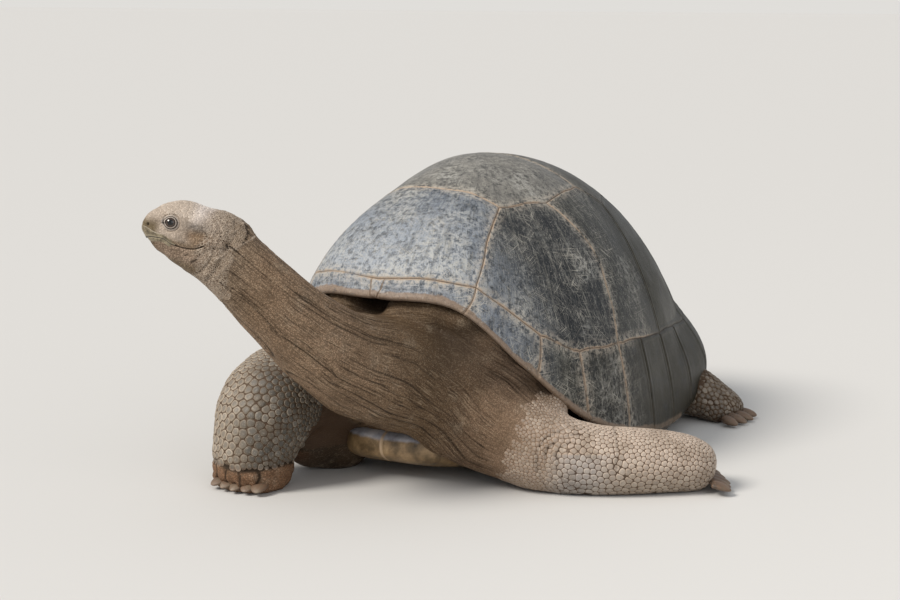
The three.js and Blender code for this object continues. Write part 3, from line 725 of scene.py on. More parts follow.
# Webs of loose skin between the forelegs and the plastron's lip: middle, then half sizes.
SKIN_WEBS = [
    (-0.158, -0.445, 0.066, 0.078, 0.085, 0.082), (-0.02, -0.42, 0.098, 0.15, 0.075, 0.032),
    (0.12, -0.44, 0.088, 0.10, 0.07, 0.034), (-0.176, -0.485, 0.078, 0.072, 0.10, 0.078),
]
for degrees in (8, 16, 24, 32, 40, 48):
    for side in (1, -1) if degrees > 10 else (1,):
        edge = rim_point(np.radians(degrees * side))
        SKIN_WEBS.append((*(edge * [0.90, 0.90, 1] - [0, 0, 0.026]), 0.05, 0.05, 0.036))
for x, y, z, *half in SKIN_WEBS:
    web = Matrix.LocRotScale(Vector((x, y, z)), None, Vector(half))
    bmesh.ops.create_icosphere(joined, subdivisions=4, radius=1, matrix=web)
raw_skin = bpy.data.meshes.new("raw_skin")
joined.to_mesh(raw_skin)
joined.free()


def remeshed(mesh, cell):
    """One closed surface round all that a mesh holds, in squares of this size."""
    raw = bpy.data.objects.new("raw", mesh)
    scene.collection.objects.link(raw)
    remesh = raw.modifiers.new("remesh", "REMESH")
    remesh.mode = "VOXEL"
    remesh.voxel_size = cell
    surface = bmesh.new()
    surface.from_mesh(raw.evaluated_get(bpy.context.evaluated_depsgraph_get()).to_mesh())
    bpy.data.objects.remove(raw)
    return surface


form = remeshed(raw_skin, SKIN_CELL)


def positions(mesh):
    return np.array([v.co for v in mesh.verts])


def place(mesh, points):
    for v, p in zip(mesh.verts, points):
        v.co = p


def edge_pairs(mesh):
    mesh.verts.index_update()
    return np.array([(e.verts[0].index, e.verts[1].index) for e in mesh.edges])


def averaged(values, pairs, rounds, share):
    """Values smoothed over the mesh; share, one number a vertex, says how far each step goes."""
    count = np.bincount(pairs.ravel(), minlength=len(values))[:, None]
    values = values.reshape(len(values), -1)
    for _ in range(rounds):
        total = np.stack([
            np.bincount(pairs[:, 0], values[pairs[:, 1], k], len(values))
            + np.bincount(pairs[:, 1], values[pairs[:, 0], k], len(values))
            for k in range(values.shape[1])
        ], 1)
        values = values + (total / np.maximum(count, 1) - values) * share[:, None]
    return values


def inside_shell(points, depth):
    """True where a point lies under the carapace, more than depth above its edge."""
    angle = np.arctan2(points[:, 0], -points[:, 1])
    edge = rim_point(angle)
    within = np.hypot(points[:, 0], points[:, 1]) < np.hypot(edge[:, 0], edge[:, 1]) - 0.02
    return within & (points[:, 2] > edge[:, 2] + depth)


# What the shell hides is cut away and closed.
hidden = inside_shell(positions(form), 0.06)
form.verts.ensure_lookup_table()
bmesh.ops.delete(form, geom=[form.verts[i] for i in np.flatnonzero(hidden)], context="VERTS")
bmesh.ops.holes_fill(form, edges=[e for e in form.edges if e.is_boundary], sides=0)
bmesh.ops.triangulate(form, faces=[f for f in form.faces if len(f.verts) > 4])

HEAD_TIP = np.array([-0.2265, -0.965, 0.558])
HEAD_AXIS = np.array([-0.78, -0.57, 0.262]) / np.linalg.norm([-0.78, -0.57, 0.262])
HEAD_UP = np.array([0, 0, 1]) - HEAD_AXIS * HEAD_AXIS[2]
HEAD_UP /= np.linalg.norm(HEAD_UP)
HEAD_SIDE = np.cross(HEAD_UP, HEAD_AXIS)  # towards the animal's left


def in_head(points):
    """Coordinates behind the beak's tip, to the left and upwards along the head."""
    v = points - HEAD_TIP
    return np.stack([-v @ HEAD_AXIS, v @ HEAD_SIDE, v @ HEAD_UP], -1)


points = positions(form)
pairs = edge_pairs(form)
headward = fall(in_head(points)[:, 0], 0.14, 0.24)
headward *= fall(np.abs(in_head(points)[:, 1]), 0.12, 0.16)
share = 0.6 - 0.45 * headward
SOFTENING = 50  # rounds of smoothing; what the first takes from the size, the second gives back
soft = averaged(points, pairs, SOFTENING, share)
points = soft + averaged(points - soft, pairs, SOFTENING, share)
points[:, 2] = np.maximum(points[:, 2], OFF_FLOOR)
place(form, points)
form.normal_update()

# Axes of the neck and limbs: x, y, z, then half the width, and the reach above and below, in mm.
NECK = [
    (26, -380, 222, 176, 106, 130), (24, -480, 236, 164, 104, 142), (10, -600, 262, 120, 94, 112),
    (-6, -712, 314, 90, 82, 88), (-42, -802, 394, 74, 72, 74), (-88, -858, 470, 64, 65, 66),
    (-118, -884, 508, 58, 64, 66),
]
LEFT_FORELEG = [
    (92, -412, 168, 128, 118, 128), (192, -404, 134, 104, 104, 118), (300, -402, 88, 80, 78, 94),
    (385, -370, 70, 74, 62, 80), (468, -320, 66, 72, 58, 74), (536, -270, 58, 67, 56, 64),
    (600, -215, 40, 50, 44, 48),
]
RIGHT_FORELEG = [
    (-160, -450, 188, 106, 86, 172), (-190, -560, 190, 108, 86, 116), (-202, -630, 150, 108, 92, 96),
    (-210, -660, 80, 90, 82, 80), (-214, -676, 10, 78, 72, 72),
]
HIND_LEG = [(190, 250, 120, 90, 90, 90), (338, 322, 54, 54, 50, 54), (430, 316, 14, 44, 40, 44)]
TAIL = [(0, 400, 130, 60, 60, 60), (24, 528, 52, 36, 36, 36), (66, 572, 18, 22, 20, 20)]
RIGHT_HIND_LEG = [(-x, *rest) for x, *rest in HIND_LEG]


def off_limb(points, stations):
    """Each point's distance outside a limb's surface, and how far along the limb it is, 0 to 1."""
    made = np.array(stations, float) / 1000
    best, along = np.full(len(points), 9.0), np.zeros(len(points))
    for i, (a, b) in enumerate(zip(made, made[1:])):
        axis = b[:3] - a[:3]
        t = np.clip((points - a[:3]) @ axis / (axis @ axis), 0, 1)
        size = a[3:].mean() + (b[3:].mean() - a[3:].mean()) * t
        away = lengths(points - a[:3] - t[:, None] * axis) - size
        closer = away < best
        best[closer] = away[closer]
        along[closer] = (i + t[closer]) / (len(made) - 1)
    return best, along


def refine(mesh, chosen, rounds):
    """Halves the edges of the chosen faces, then rounds off what that makes."""
    points = positions(mesh)
    mesh.verts.index_update()
    inside = chosen(points)
    edges = [e for e in mesh.edges if inside[e.verts[0].index] and inside[e.verts[1].index]]
    bmesh.ops.subdivide_edges(mesh, edges=edges, cuts=1, use_grid_fill=True)
    points = positions(mesh)
    share = 0.5 * chosen(points)
    place(mesh, averaged(points, edge_pairs(mesh), rounds, share))


def is_creased(points):
    """The neck, chest and shoulders, whose folds need a finer mesh."""
    arm, along = off_limb(points, LEFT_FORELEG)
    leg = off_limb(points, RIGHT_FORELEG)[0]
    on_leg = (leg < 0.03) & (points[:, 2] < 0.2) & (leg < off_limb(points, NECK)[0])
    covered = inside_shell(points, 0.03) | (points[:, 1] > -0.29)
    return ~covered & ~((along > 0.42) & (arm < 0.05)) & ~on_leg


def is_head(points):
    at = in_head(points)
    return (at[:, 0] < 0.15) & (np.abs(at[:, 1]) < 0.09) & (np.abs(at[:, 2]) < 0.13)


EYE_CENTRE = np.array([0.047, 0.027, 0.0185])
MOUTH_LINE = np.array([
    (-0.004, -0.0145), (0.012, -0.0145), (0.024, -0.0135), (0.039, -0.0115), (0.053, -0.016),
    (0.072, -0.018), (0.092, -0.016), (0.104, -0.011), (0.113, -0.004),
])
mouth_curve = curve_through(MOUTH_LINE, 12)


def in_half_head(points):
    """Head coordinates folded onto the left side, as the head is the same on both."""
    back, aside, up = in_head(points).T
    return np.stack([back, np.abs(aside), up], -1)


def is_face_detail(points):
    at = in_half_head(points)
    near_eye = lengths(at - EYE_CENTRE) < 0.024
    near_mouth = distance_to(at[:, [0, 2]], mouth_curve) < 0.006
    return (near_eye | near_mouth) & (at[:, 0] < 0.118) & (np.abs(at[:, 2]) < 0.06)


refine(form, is_creased, 2)
refine(form, is_head, 2)
refine(form, is_face_detail, 1)
form.normal_update()
points = positions(form)
normals = np.array([v.normal for v in form.verts])
pairs = edge_pairs(form)


# ---- Skin: folds ----
# The loose hide falls in long folds from the head back along the neck, and they sweep down over the
# chest to the forelegs. Two numbers follow them: one across the folds, from the throat, 0, to the
# nape and the shell's edge, 1, and one along them in metres from the back of the head.

def ring(station, along, front, turns):
    """Points round a neck or limb; turns are 0 below, half a turn above, by way of its front."""
    x, y, z, wide, up, down = np.array(station, float) / 1000
    along = along / np.linalg.norm(along)
    front = front - along * (front @ along)
    front /= np.linalg.norm(front)
    above = np.cross(along, front)
    above *= np.sign(above[2])
    s, c = np.sin(turns * np.pi), -np.cos(turns * np.pi)
    reach = np.where(c > 0, up, down)
    return np.array([x, y, z]) + front * (wide * s)[:, None] + above * (reach * c)[:, None]


turns = np.array([0, 0.12, 0.28, 0.5, 0.72, 0.88, 1])
axis_points = np.array(NECK, float)[:, :3] / 1000
neck_length = lengths(np.diff(axis_points, axis=0))
from_head = np.append(np.cumsum(neck_length[::-1])[::-1], 0)
guides, guide_values = [], []
for i, station in enumerate(NECK):
    ahead, behind = axis_points[min(i + 1, len(NECK) - 1)], axis_points[max(i - 1, 0)]
    along = ahead - behind
    left = np.array([-along[1], along[0], 0])
    for side in (left, -left):
        kept = turns if i > 1 else turns[[0, 6]]
        guides.append(ring(station, along, side, kept))
        guide_values.append(np.stack([kept - 0.15 * (kept == 0) * (i < 2), 0 * kept + from_head[i]], -1))
for station, reach in zip(LEFT_FORELEG[1:4], (0.66, 0.77, 0.87)):
    guides.append(ring(station, np.array([1, 0.1, -0.3]), np.array([0, -1, 0]), turns[:6]))
    guide_values.append(np.stack([turns[:6] * 0.95 + 0.02, 0 * turns[:6] + reach], -1))
for angle, reach in ((0.1, 0.40), (0.35, 0.45), (0.6, 0.53), (0.74, 0.58), (0.9, 0.64)):
    for side in (1, -1):
        guides.append(rim_point(np.array([angle * side])) * [0.94, 0.94, 1] - [0, 0, 0.03])
        guide_values.append(np.array([[1.05 - 0.1 * (angle > 0.7), reach]]))
guides, guide_values = np.vstack(guides), np.vstack(guide_values)


GIVE = 2e-3  # lets the field pass a little beside its guides, so that it stays smooth


def spread(guides, values, points):
    """Values at points from values at guides: the smoothest field, with distance as its kernel."""
    def basis(at):
        return np.hstack([
            np.linalg.norm(at[:, None] - guides[None], axis=2), np.ones((len(at), 1)), at,
        ])
    n = len(guides)
    system = np.zeros((n + 4, n + 4))
    system[:n] = basis(guides)
    system[:n, :n] -= np.eye(n) * GIVE
    system[n:, :n] = system[:n, n:].T
    weights = np.linalg.lstsq(system, np.vstack([values, np.zeros((4, values.shape[1]))]), rcond=None)[0]
    return np.vstack([basis(part) @ weights for part in np.array_split(points, 40)])


lie = spread(guides, guide_values, points)
across, down_neck = lie.T
head_at = in_head(points)
arm_off, arm_along = off_limb(points, LEFT_FORELEG)
leg_off = off_limb(points, RIGHT_FORELEG)[0]
neck_off = off_limb(points, NECK)[0]
hind_off = np.minimum(off_limb(points, HIND_LEG)[0], off_limb(points, RIGHT_HIND_LEG)[0])
arm_ragged = arm_along + 0.05 * grain(points, 0.05, 44) + 0.025 * grain(points, 0.012, 45)
on_arm = fall(arm_off, 0.015, 0.08) * smooth_step(arm_ragged, 0.16, 0.40)
on_leg = fall(leg_off, 0.02, 0.05) * smooth_step(neck_off - leg_off, 0, 0.03)
on_head = fall(head_at[:, 0], 0.125, 0.165)
on_head *= (np.abs(head_at[:, 1]) < 0.1) & (np.abs(head_at[:, 2]) < 0.14)
forward = fall(points[:, 1], -0.3, -0.22)
folded = forward * (1 - on_arm) * (1 - on_leg) * (1 - on_head)


def near(middle, size):
    """1 at a place in mm, falling to 0 over size, in mm."""
    return np.exp(-(((points - np.array(middle) / 1000) ** 2).sum(1)) / (size / 1000) ** 2)


FIRST_FOLD, LAST_FOLD = -0.3, 1.25  # across the neck, a little beyond throat and nape


def fold_height(count, width, seed, wander, broken):
    """Rounded ridges between sharp valleys that follow the folds' run: 0, down to -1 in a valley."""
    order = np.random.default_rng(seed)
    steps = order.uniform(0.45, 1.6, count)
    valleys = FIRST_FOLD + np.cumsum(steps) / steps.sum() * (LAST_FOLD - FIRST_FOLD)
    depth = order.uniform(0.35, 1, count)
    drift = wander * grain(np.stack([across * 2.2, down_neck, 0 * across], -1), 0.16, seed)
    drift += 0.3 * wander * grain(points, 0.035, seed + 1)
    at = across + drift
    nearest = np.clip(np.searchsorted(valleys, at), 1, count - 1)
    nearest -= at - valleys[nearest - 1] < valleys[nearest] - at
    gap = np.abs(at - valleys[nearest])
    row = np.stack([valleys[nearest] * 3, down_neck, 0 * across], -1)
    run = smooth_step(grain(row, 0.11, seed + 2), -broken, 1 - broken)
    return -depth[nearest] * run * np.exp(-gap / width)


throat = bump(across, 0.16)
nape = smooth_step(across, 0.5, 0.75) * smooth_step(down_neck, 0.06, 0.2)
armpit = near((250, -395, 235), 110)
throat_low = throat * smooth_step(down_neck, 0.25, 0.4)
middle = near((110, -520, 250), 130)
chest = smooth_step(across, 0.50, 0.75) * smooth_step(down_neck, 0.30, 0.46) * (1 - armpit)
folded *= (1 - 0.75 * chest) * (1 - 0.9 * near((-130, -510, 30), 90))
strength = 0.0021 + 0.0018 * throat + 0.0032 * throat_low + 0.0034 * nape + 0.0044 * armpit - 0.0006 * middle
coarse = fold_height(count=40, width=0.0062, seed=21, wander=0.030, broken=0.7)
fine = fold_height(count=120, width=0.0034, seed=31, wander=0.024, broken=0.35)
folds = folded * (strength * coarse + 0.5 * strength * fine)
sag = folded * (0.0030 * grain(np.stack([across * 0.9, down_neck * 0.25, 0 * across], -1), 0.1, 41))
points = points + normals * (folds + sag * (1 - 0.6 * on_head))[:, None]
crease = np.clip(-folded * (coarse + 0.6 * fine), 0, 1)


def limb_creases(points):
    """Deep bends in the hide of the legs: 1 at the bottom of a crease."""
    arm_off, arm_along = off_limb(points, LEFT_FORELEG)
    wander = 0.012 * grain(points, 0.06, 46) + 0.004 * grain(points, 0.015, 47)
    from_elbow = lengths(points - [0.405, -0.445, 0.062])
    made = 0.6 * bump(arm_along + 0.5 * wander - 0.585, 0.004) * (points[:, 2] > 0.06)
    for reach, width, deep in ((0.084, 0.0034, 0.55), (0.068, 0.0034, 0.65), (0.050, 0.0030, 0.6)):
        arc = bump(from_elbow + 0.8 * wander - reach, width)
        broken = smooth_step(grain(points, 0.035, int(reach * 1000)), -0.9, 0.1)
        made += deep * arc * broken * fall(points[:, 0], 0.385, 0.425) * (points[:, 1] < -0.38)
    made *= (arm_off < 0.05) * (points[:, 0] > 0.22)
    leg_off = off_limb(points, RIGHT_FORELEG)[0]
    on_foot = (leg_off < 0.018) * (points[:, 1] < -0.6)
    ankle = bump(points[:, 2] - 0.054 + 0.5 * wander, 0.006)
    turn = np.degrees(np.arctan2(points[:, 0] + 0.213, -(points[:, 1] + 0.672))) + 900 * wander
    for middle, low in ((-64, 0.0), (-38, 0.012), (-8, 0.004), (22, 0.0), (50, 0.01)):
        crack = np.exp(-np.abs((turn - middle) / 2.6) ** 1.3) * fall(points[:, 2], 0.046, 0.056)
        ankle = np.maximum(ankle, 0.95 * crack * smooth_step(points[:, 2], low, low + 0.01))
    made += ankle * on_foot
    hind = np.minimum(off_limb(points, HIND_LEG)[0], off_limb(points, RIGHT_HIND_LEG)[0])
    folds = np.sin(points[:, 1] * 190 + 160 * wander + 30 * points[:, 2])
    made += 0.8 * smooth_step(folds, 0.86, 1.0) * (hind < 0.04) * (points[:, 1] > 0.15)
    return np.clip(made, 0, 1)


bends = limb_creases(points)
# The drawn-up foot has no scales below the ankle: its hide is worn into lumps.
bare_foot = (leg_off < 0.018) * (points[:, 1] < -0.6) * fall(points[:, 2], 0.044, 0.054)
lumps = 0.0022 * grain(points, 0.014, 48) + 0.0012 * grain(points, 0.005, 49)
points = points + normals * (lumps * bare_foot - 0.0034 * bends)[:, None]
crease = np.clip(crease + bends, 0, 1)


# ---- Skin: the head ----
# Brow, snout, cheek, the hollow of the eardrum and the jaw's corner, in coordinates behind the beak's
# tip, aside and up; then the line of the mouth, the nostrils, and the lids that lie on the eyeball.

HEAD_FORMS = [  # back, aside, up, then the reach of each and the height, all in mm
    (46, 28, 36, 20, 14, 9, 2.2), (26, 24, 10, 12, 12, 9, -2.6), (10, 0, 20, 14, 14, 8, 1.6),
    (60, 40, -4, 13, 14, 9, 2.2), (88, 44, 32, 24, 14, 12, 2.4), (98, 52, 14, 17, 16, 8, -4.6),
    (84, 48, 5, 8, 16, 7, -2.6), (114, 52, 0, 9, 14, 8, 3.0), (128, 48, 12, 12, 14, 12, -2.0),
    (140, 51, 18, 10, 14, 22, 2.6), (152, 46, 6, 8, 16, 24, -3.4), (48, 30, -30, 26, 12, 8, -2.0),
    (92, 40, -34, 22, 14, 10, 2.0), (120, 40, -44, 16, 16, 10, -3.2), (34, 12, -33, 14, 12, 8, 1.4),
    (70, 0, 62, 30, 18, 12, 1.2), (112, 0, 58, 22, 26, 14, -1.6),
]
at = in_half_head(points)
lift = np.zeros(len(points))
for *middle, a, b, c, height in HEAD_FORMS:
    reach = (at - np.array(middle) / 1000) / (np.array([a, b, c]) / 1000)
    lift += height / 1000 * np.exp(-(reach**2).sum(1))
headlike = (at[:, 0] < 0.2) & (at[:, 1] < 0.1) & (np.abs(at[:, 2]) < 0.13)
points = points + normals * (lift * headlike)[:, None]

# Loose creases behind the jaw and across the throat, and thin ones that fan from the eye and mouth.
HEAD_CREASES = [  # each through three places behind the tip and up, then depth and width, in mm
    (132, 34, 138, 16, 130, -8, 1.8, 2.6), (156, 50, 162, 28, 150, -2, 1.6, 3.0),
    (176, 52, 184, 30, 172, 4, 1.3, 2.8), (120, -8, 113, -24, 98, -40, 1.6, 2.4),
    (132, -14, 127, -34, 114, -58, 2.0, 2.8), (146, -18, 143, -40, 132, -68, 2.0, 3.0),
    (104, -20, 90, -28, 66, -34, 1.0, 1.1), (84, -19, 76, -30, 74, -40, 0.9, 1.0),
    (66, -20, 60, -28, 58, -36, 0.8, 0.9), (70, 2, 76, -8, 90, -12, 0.9, 1.0),
    (66, 12, 74, 6, 82, 4, 0.8, 0.9), (120, 4, 132, -4, 146, 0, 1.5, 1.3),
    (64, 24, 76, 28, 92, 25, 0.7, 0.9), (36, 36, 48, 41, 60, 38, 0.8, 0.9),
    (22, 22, 27, 14, 24, 4, 0.8, 1.0), (118, 30, 108, 34, 96, 33, 0.8, 1.0),
    (76, -8, 84, -2, 96, -4, 1.0, 1.2), (96, 22, 108, 20, 118, 10, 1.0, 1.4),
    (50, -22, 46, -28, 46, -35, 0.7, 0.8), (92, -22, 84, -32, 78, -42, 0.8, 0.9),
    (58, -6, 66, -10, 78, -12, 0.6, 0.8),
]
# Two pale ridges of skin that rise from behind the jaw and cross the back of the head.
HEAD_RIDGES = [  # through three places behind the tip and up, then height and width, in mm
    (120, -6, 142, 14, 172, 48, 1.6, 1.5), (138, -24, 168, 6, 204, 36, 1.8, 1.6),
    (112, 6, 132, 26, 150, 58, 0.8, 1.2), (150, -50, 164, -24, 186, -2, 1.0, 1.5),
]


def head_line(places):
    """A curve on the head through places that are given one after another in mm."""
    return curve_through(np.array(places).reshape(-1, 2) / 1000, 14)


at = in_half_head(points)
flat = at[:, [0, 2]]
ridge_pale = np.zeros(len(points))
for *places, tall, width in HEAD_RIDGES:
    gap = distance_to(flat, head_line(places)) + 0.0016 * grain(points, 0.014, 56)
    line_mask = bump(gap, width / 1000) * headlike * (at[:, 1] > 0.012)
    points = points + normals * (tall / 1000 * line_mask)[:, None]
    ridge_pale += 0.4 * tall * line_mask * smooth_step(grain(points, 0.02, 57), -0.6, 0.3)
crease_depth = np.zeros(len(points))
for *places, depth, width in HEAD_CREASES:
    gap = distance_to(flat, head_line(places)) + 0.0012 * grain(points, 0.012, 51)
    crease_depth += depth / 1000 * np.exp(-np.abs(gap / (width / 1000)) ** 1.3)
crease_depth *= headlike & (at[:, 1] > 0.012)
mouth_gap = distance_to(flat, mouth_curve)
mouth = bump(mouth_gap, 0.0013) * headlike * (at[:, 0] < 0.122)
nostril_at = at[lengths(at - [0.0075, 0.0125, 0.0045]).argmin()]
nostril = bump(lengths(at - nostril_at), 0.0030)
ear_rim = lengths((at[:, [0, 2]] - [0.099, 0.014]) / [1.5, 1])
ear = 0.0012 * bump(ear_rim - 0.0125, 0.0022) * headlike * (at[:, 1] > 0.02)
back_here = smooth_step(at[:, 0], 0.085, 0.13)
pebbles = (0.0002 + 0.0004 * back_here) * grain(points, 0.0032, 52) + 0.0004 * grain(points, 0.008, 53)
lift = -crease_depth - 0.0026 * mouth - 0.0040 * nostril - ear + pebbles * headlike
points = points + normals * lift[:, None]
crease = np.clip(crease + crease_depth / 0.0022 + mouth + nostril, 0, 1)

# The lids: radius from the eyeball's centre against distance from the eye's axis, both in mm.
EYE_RADIUS = 0.0140
EYE_AXIS = np.array([-0.16, 0.97, 0.18])
LID_SHAPE = np.array([
    (0, 11.6), (8.2, 11.6), (8.9, 14.4), (9.6, 15.3), (10.6, 15.5), (11.5, 15.0), (12.3, 14.7),
    (13.2, 15.5), (14.6, 16.1), (17, 16.6), (22, 17.6),
]) / 1000
lid_dark = np.zeros(len(points))
lid_pale = np.zeros(len(points))
for side in (1, -1):
    at = in_head(points) * [1, side, 1] - EYE_CENTRE
    outward = EYE_AXIS / np.linalg.norm(EYE_AXIS)
    along = at @ outward
    flat = at - along[:, None] * outward
    # The opening is drawn out towards the front corner.
    corner = np.maximum(-flat[:, 0] - 0.4 * np.abs(flat[:, 2]), 0)
    away = lengths(flat * [1, 1, 1.06])
    shape_away = away - 0.30 * np.maximum(corner - 0.006, 0)
    wanted = np.interp(shape_away, LID_SHAPE[:, 0], LID_SHAPE[:, 1])
    ring_at = np.sqrt(np.maximum(wanted**2 - away**2, 0))
    hold = (along > 0) * (away < 0.024) * fall(away, 0.0125, 0.0195)
    shift = (ring_at - along) * hold
    points = points + (shift[:, None] * outward * [1, side, 1]) @ np.stack([-HEAD_AXIS, HEAD_SIDE, HEAD_UP])
    shown = (along > 0) & (away < 0.024)
    lid_dark += shown * (bump(shape_away - 0.0118, 0.0008) + 0.9 * bump(shape_away - 0.0086, 0.0007))
    lid_pale += shown * (bump(shape_away - 0.0102, 0.0009) + 0.8 * bump(shape_away - 0.0140, 0.0012))
    front = np.exp(-(((flat - [-0.0135, 0, -0.0035]) / [0.004, 1, 0.0016]) ** 2).sum(1))
    lid_dark += shown * front
points[:, 2] = np.maximum(points[:, 2], OFF_FLOOR)
place(form, points)
form.normal_update()
mesh = bpy.data.meshes.new("skin")
form.to_mesh(mesh)
skin = piece_of("skin", mesh)


# ---- Skin: its colour and finish ----
# Dry reptile hide: matt, grey-brown, paler where it is rubbed and bleached on the head and forelegs,
# darker and browner under the shell as painted shade, with painted shade in the creases and brown dust on the
# feet.

def net_mask(points):
    """Where the hide breaks into small plates: the temple, behind the jaw and the top of the neck."""
    back, _, up = in_half_head(points).T
    ragged = back + 0.012 * grain(points, 0.02, 55)
    behind = smooth_step(ragged, 0.088 + 0.55 * np.maximum(up - 0.03, 0), 0.128) * (back < 0.4)
    return behind * fall(ragged, 0.13, 0.19)


def sheltered(points):
    """Where shade is painted on the hide in the shelter of the shell: under its rim, in the armpit, on the
    chest.
    """
    neck = off_limb(points, NECK)[0]
    inward = np.hypot(points[:, 0], points[:, 1] + 0.05)
    rim_shade = smooth_step(-inward, -0.50, -0.42) * smooth_step(points[:, 2], 0.12, 0.2) * (neck > -0.03)
    armpit = np.exp(-(((points - [0.25, -0.395, 0.235]) / 0.10) ** 2).sum(1))
    chest = np.exp(-(((points - [0.10, -0.475, 0.285]) / [0.14, 0.09, 0.07]) ** 2).sum(1))
    return rim_shade, armpit, chest


def hide_colour(points):
    """The hide's colour at places on it, with painted shade in places: one colour for each region, blended
    into the next.
    """
    back, aside, up = in_half_head(points).T
    arm, arm_along = off_limb(points, LEFT_FORELEG)
    leg = off_limb(points, RIGHT_FORELEG)[0]
    neck = off_limb(points, NECK)[0]
    hind = np.minimum(off_limb(points, HIND_LEG)[0], off_limb(points, RIGHT_HIND_LEG)[0])
    hind = np.minimum(hind, off_limb(points, TAIL)[0])
    near_head = (aside < 0.1) & (np.abs(up) < 0.14)
    rim_shade, armpit, chest_shade = sheltered(points)
    shoulder = fall(arm, 0.02, 0.12) * smooth_step(arm_along, 0.0, 0.22)
    arm_mask = fall(arm, 0.02, 0.09) * smooth_step(arm_along, 0.24, 0.52)
    # Painted shade in the gap beside the right foreleg, low down.
    gap = bump(points[:, 0] + 0.125, 0.045) * fall(points[:, 2], 0.10, 0.17)
    gap *= smooth_step(points[:, 1], -0.60, -0.56)
    leg_mask = fall(leg, 0.02, 0.06) * smooth_step(neck - leg, 0, 0.025)
    hind_mask = fall(hind, 0.01, 0.06) * smooth_step(points[:, 1], 0.1, 0.2)
    low = fall(points[:, 2], 0.10, 0.24)

    def spot_at(behind, above, long, tall):
        return np.exp(-((back - behind) / long) ** 2 - ((up - above) / tall) ** 2)

    head_tones = [
        ("#98846e", fall(back, 0.15, 0.24)),
        ("#b09985", fall(back, 0.10, 0.13) * smooth_step(-up, 0.012, 0.02) * fall(-up, 0.036, 0.05)),
        ("#7d6c52", fall(back, 0.09, 0.14) * smooth_step(-up, 0.04, 0.056) * 0.7),
        ("#e2d6ce", smooth_step(up, 0.012, 0.034) * fall(back, 0.09, 0.15)),
        ("#c0b0a0", fall(back, 0.07, 0.10) * smooth_step(up, -0.014, -0.004)),
        ("#8b7966", spot_at(0.112, 0.034, 0.022, 0.012) * 0.7),
        # Painted shade low on the front of the snout, round the nostrils.
        ("#6f6148", fall(back, 0.016, 0.034) * fall(up, 0.004, 0.024)),
        ("#7f6b58", net_mask(points) * 0.8),
        ("#7d6044", spot_at(0.100, 0.006, 0.026, 0.014) * 0.85),
        ("#77736f", spot_at(0.092, 0.024, 0.024, 0.008) * 0.6),
    ]
    regions = [
        ("#705a42", smooth_step(points[:, 1], -0.78, -0.56)),
        ("#7b6349", fall(points[:, 2], 0.07, 0.20) * smooth_step(points[:, 1], -0.75, -0.6)),
        # Painted shade under the rim, on the chest and in the armpit.
        ("#33261a", rim_shade * 0.85),
        ("#261a0e", chest_shade * 0.88),
        ("#35281b", armpit * 0.88),
        *((tint, near_head * mask) for tint, mask in head_tones),
        ("#8c725c", shoulder * 0.8),
        ("#d2beac", arm_mask * (1 - 0.35 * low)),
        ("#90806e", arm_mask * fall(points[:, 2], 0.015, 0.075) * 0.8),
        ("#8b9096", arm_mask * bump(arm_along - 0.46, 0.1) * (points[:, 2] < 0.09) * 0.5),
        ("#9a8b79", leg_mask),
        # Painted shade on the right foreleg's side towards the chest.
        ("#2a2113", leg_mask * smooth_step(points[:, 0], -0.24, -0.15) * 0.95),
        ("#856349", leg_mask * fall(points[:, 2], 0.048, 0.06)),
        ("#5c4931", hind_mask),
        ("#4a3822", hind_mask * fall(points[:, 2], 0.02, 0.1)),
        # Painted shade in the gap beside the right foreleg.
        ("#1f170d", gap * 0.9),
        # Painted shade in the bends of the legs.
        ("#3f2e1f", limb_creases(points) * 0.5),
    ]
    colour = np.tile(linear("#a3876c")[:3], (len(points), 1))
    for hex_colour, mask in regions:
        colour += (np.array(linear(hex_colour)[:3]) - colour) * mask[:, None]
    return colour


scaled = np.maximum.reduce([
    on_arm * smooth_step(arm_along, 0.36, 0.48), on_leg * (points[:, 2] > 0.06),
    fall(hind_off, 0.02, 0.05) * (points[:, 1] > 0.15),
])
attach(skin, "root")
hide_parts(*FLESH)
back, aside, up = in_half_head(points).T
worn_head = smooth_step(up, 0.0, 0.03) * fall(back, 0.09, 0.14)
worn_head = np.maximum(worn_head, fall(back, 0.08, 0.11) * smooth_step(up, -0.014, -0.006))
near_arm = fall(arm_off, 0.02, 0.10) * smooth_step(arm_along, 0.04, 0.26)
bare = 0.4 * worn_head * (back < 0.2) * (aside < 0.1) * (np.abs(up) < 0.14)
lie = np.stack([across * 0.34, down_neck, 0 * across], -1)
for name, values in {
    "crease": crease, "hide": hide_colour(points), "lie": lie, "folded": folded,
    "sheltered": np.maximum.reduce(sheltered(points)), "scaled": scaled,
    "net": net_mask(points), "bare": np.maximum(bare, 0.25 * near_arm),
    "ridge_pale": np.clip(ridge_pale, 0, 1), "lid_dark": np.clip(lid_dark, 0, 1),
    "lid_pale": np.clip(lid_pale, 0, 1),
}.items():
    store(skin, name, values)


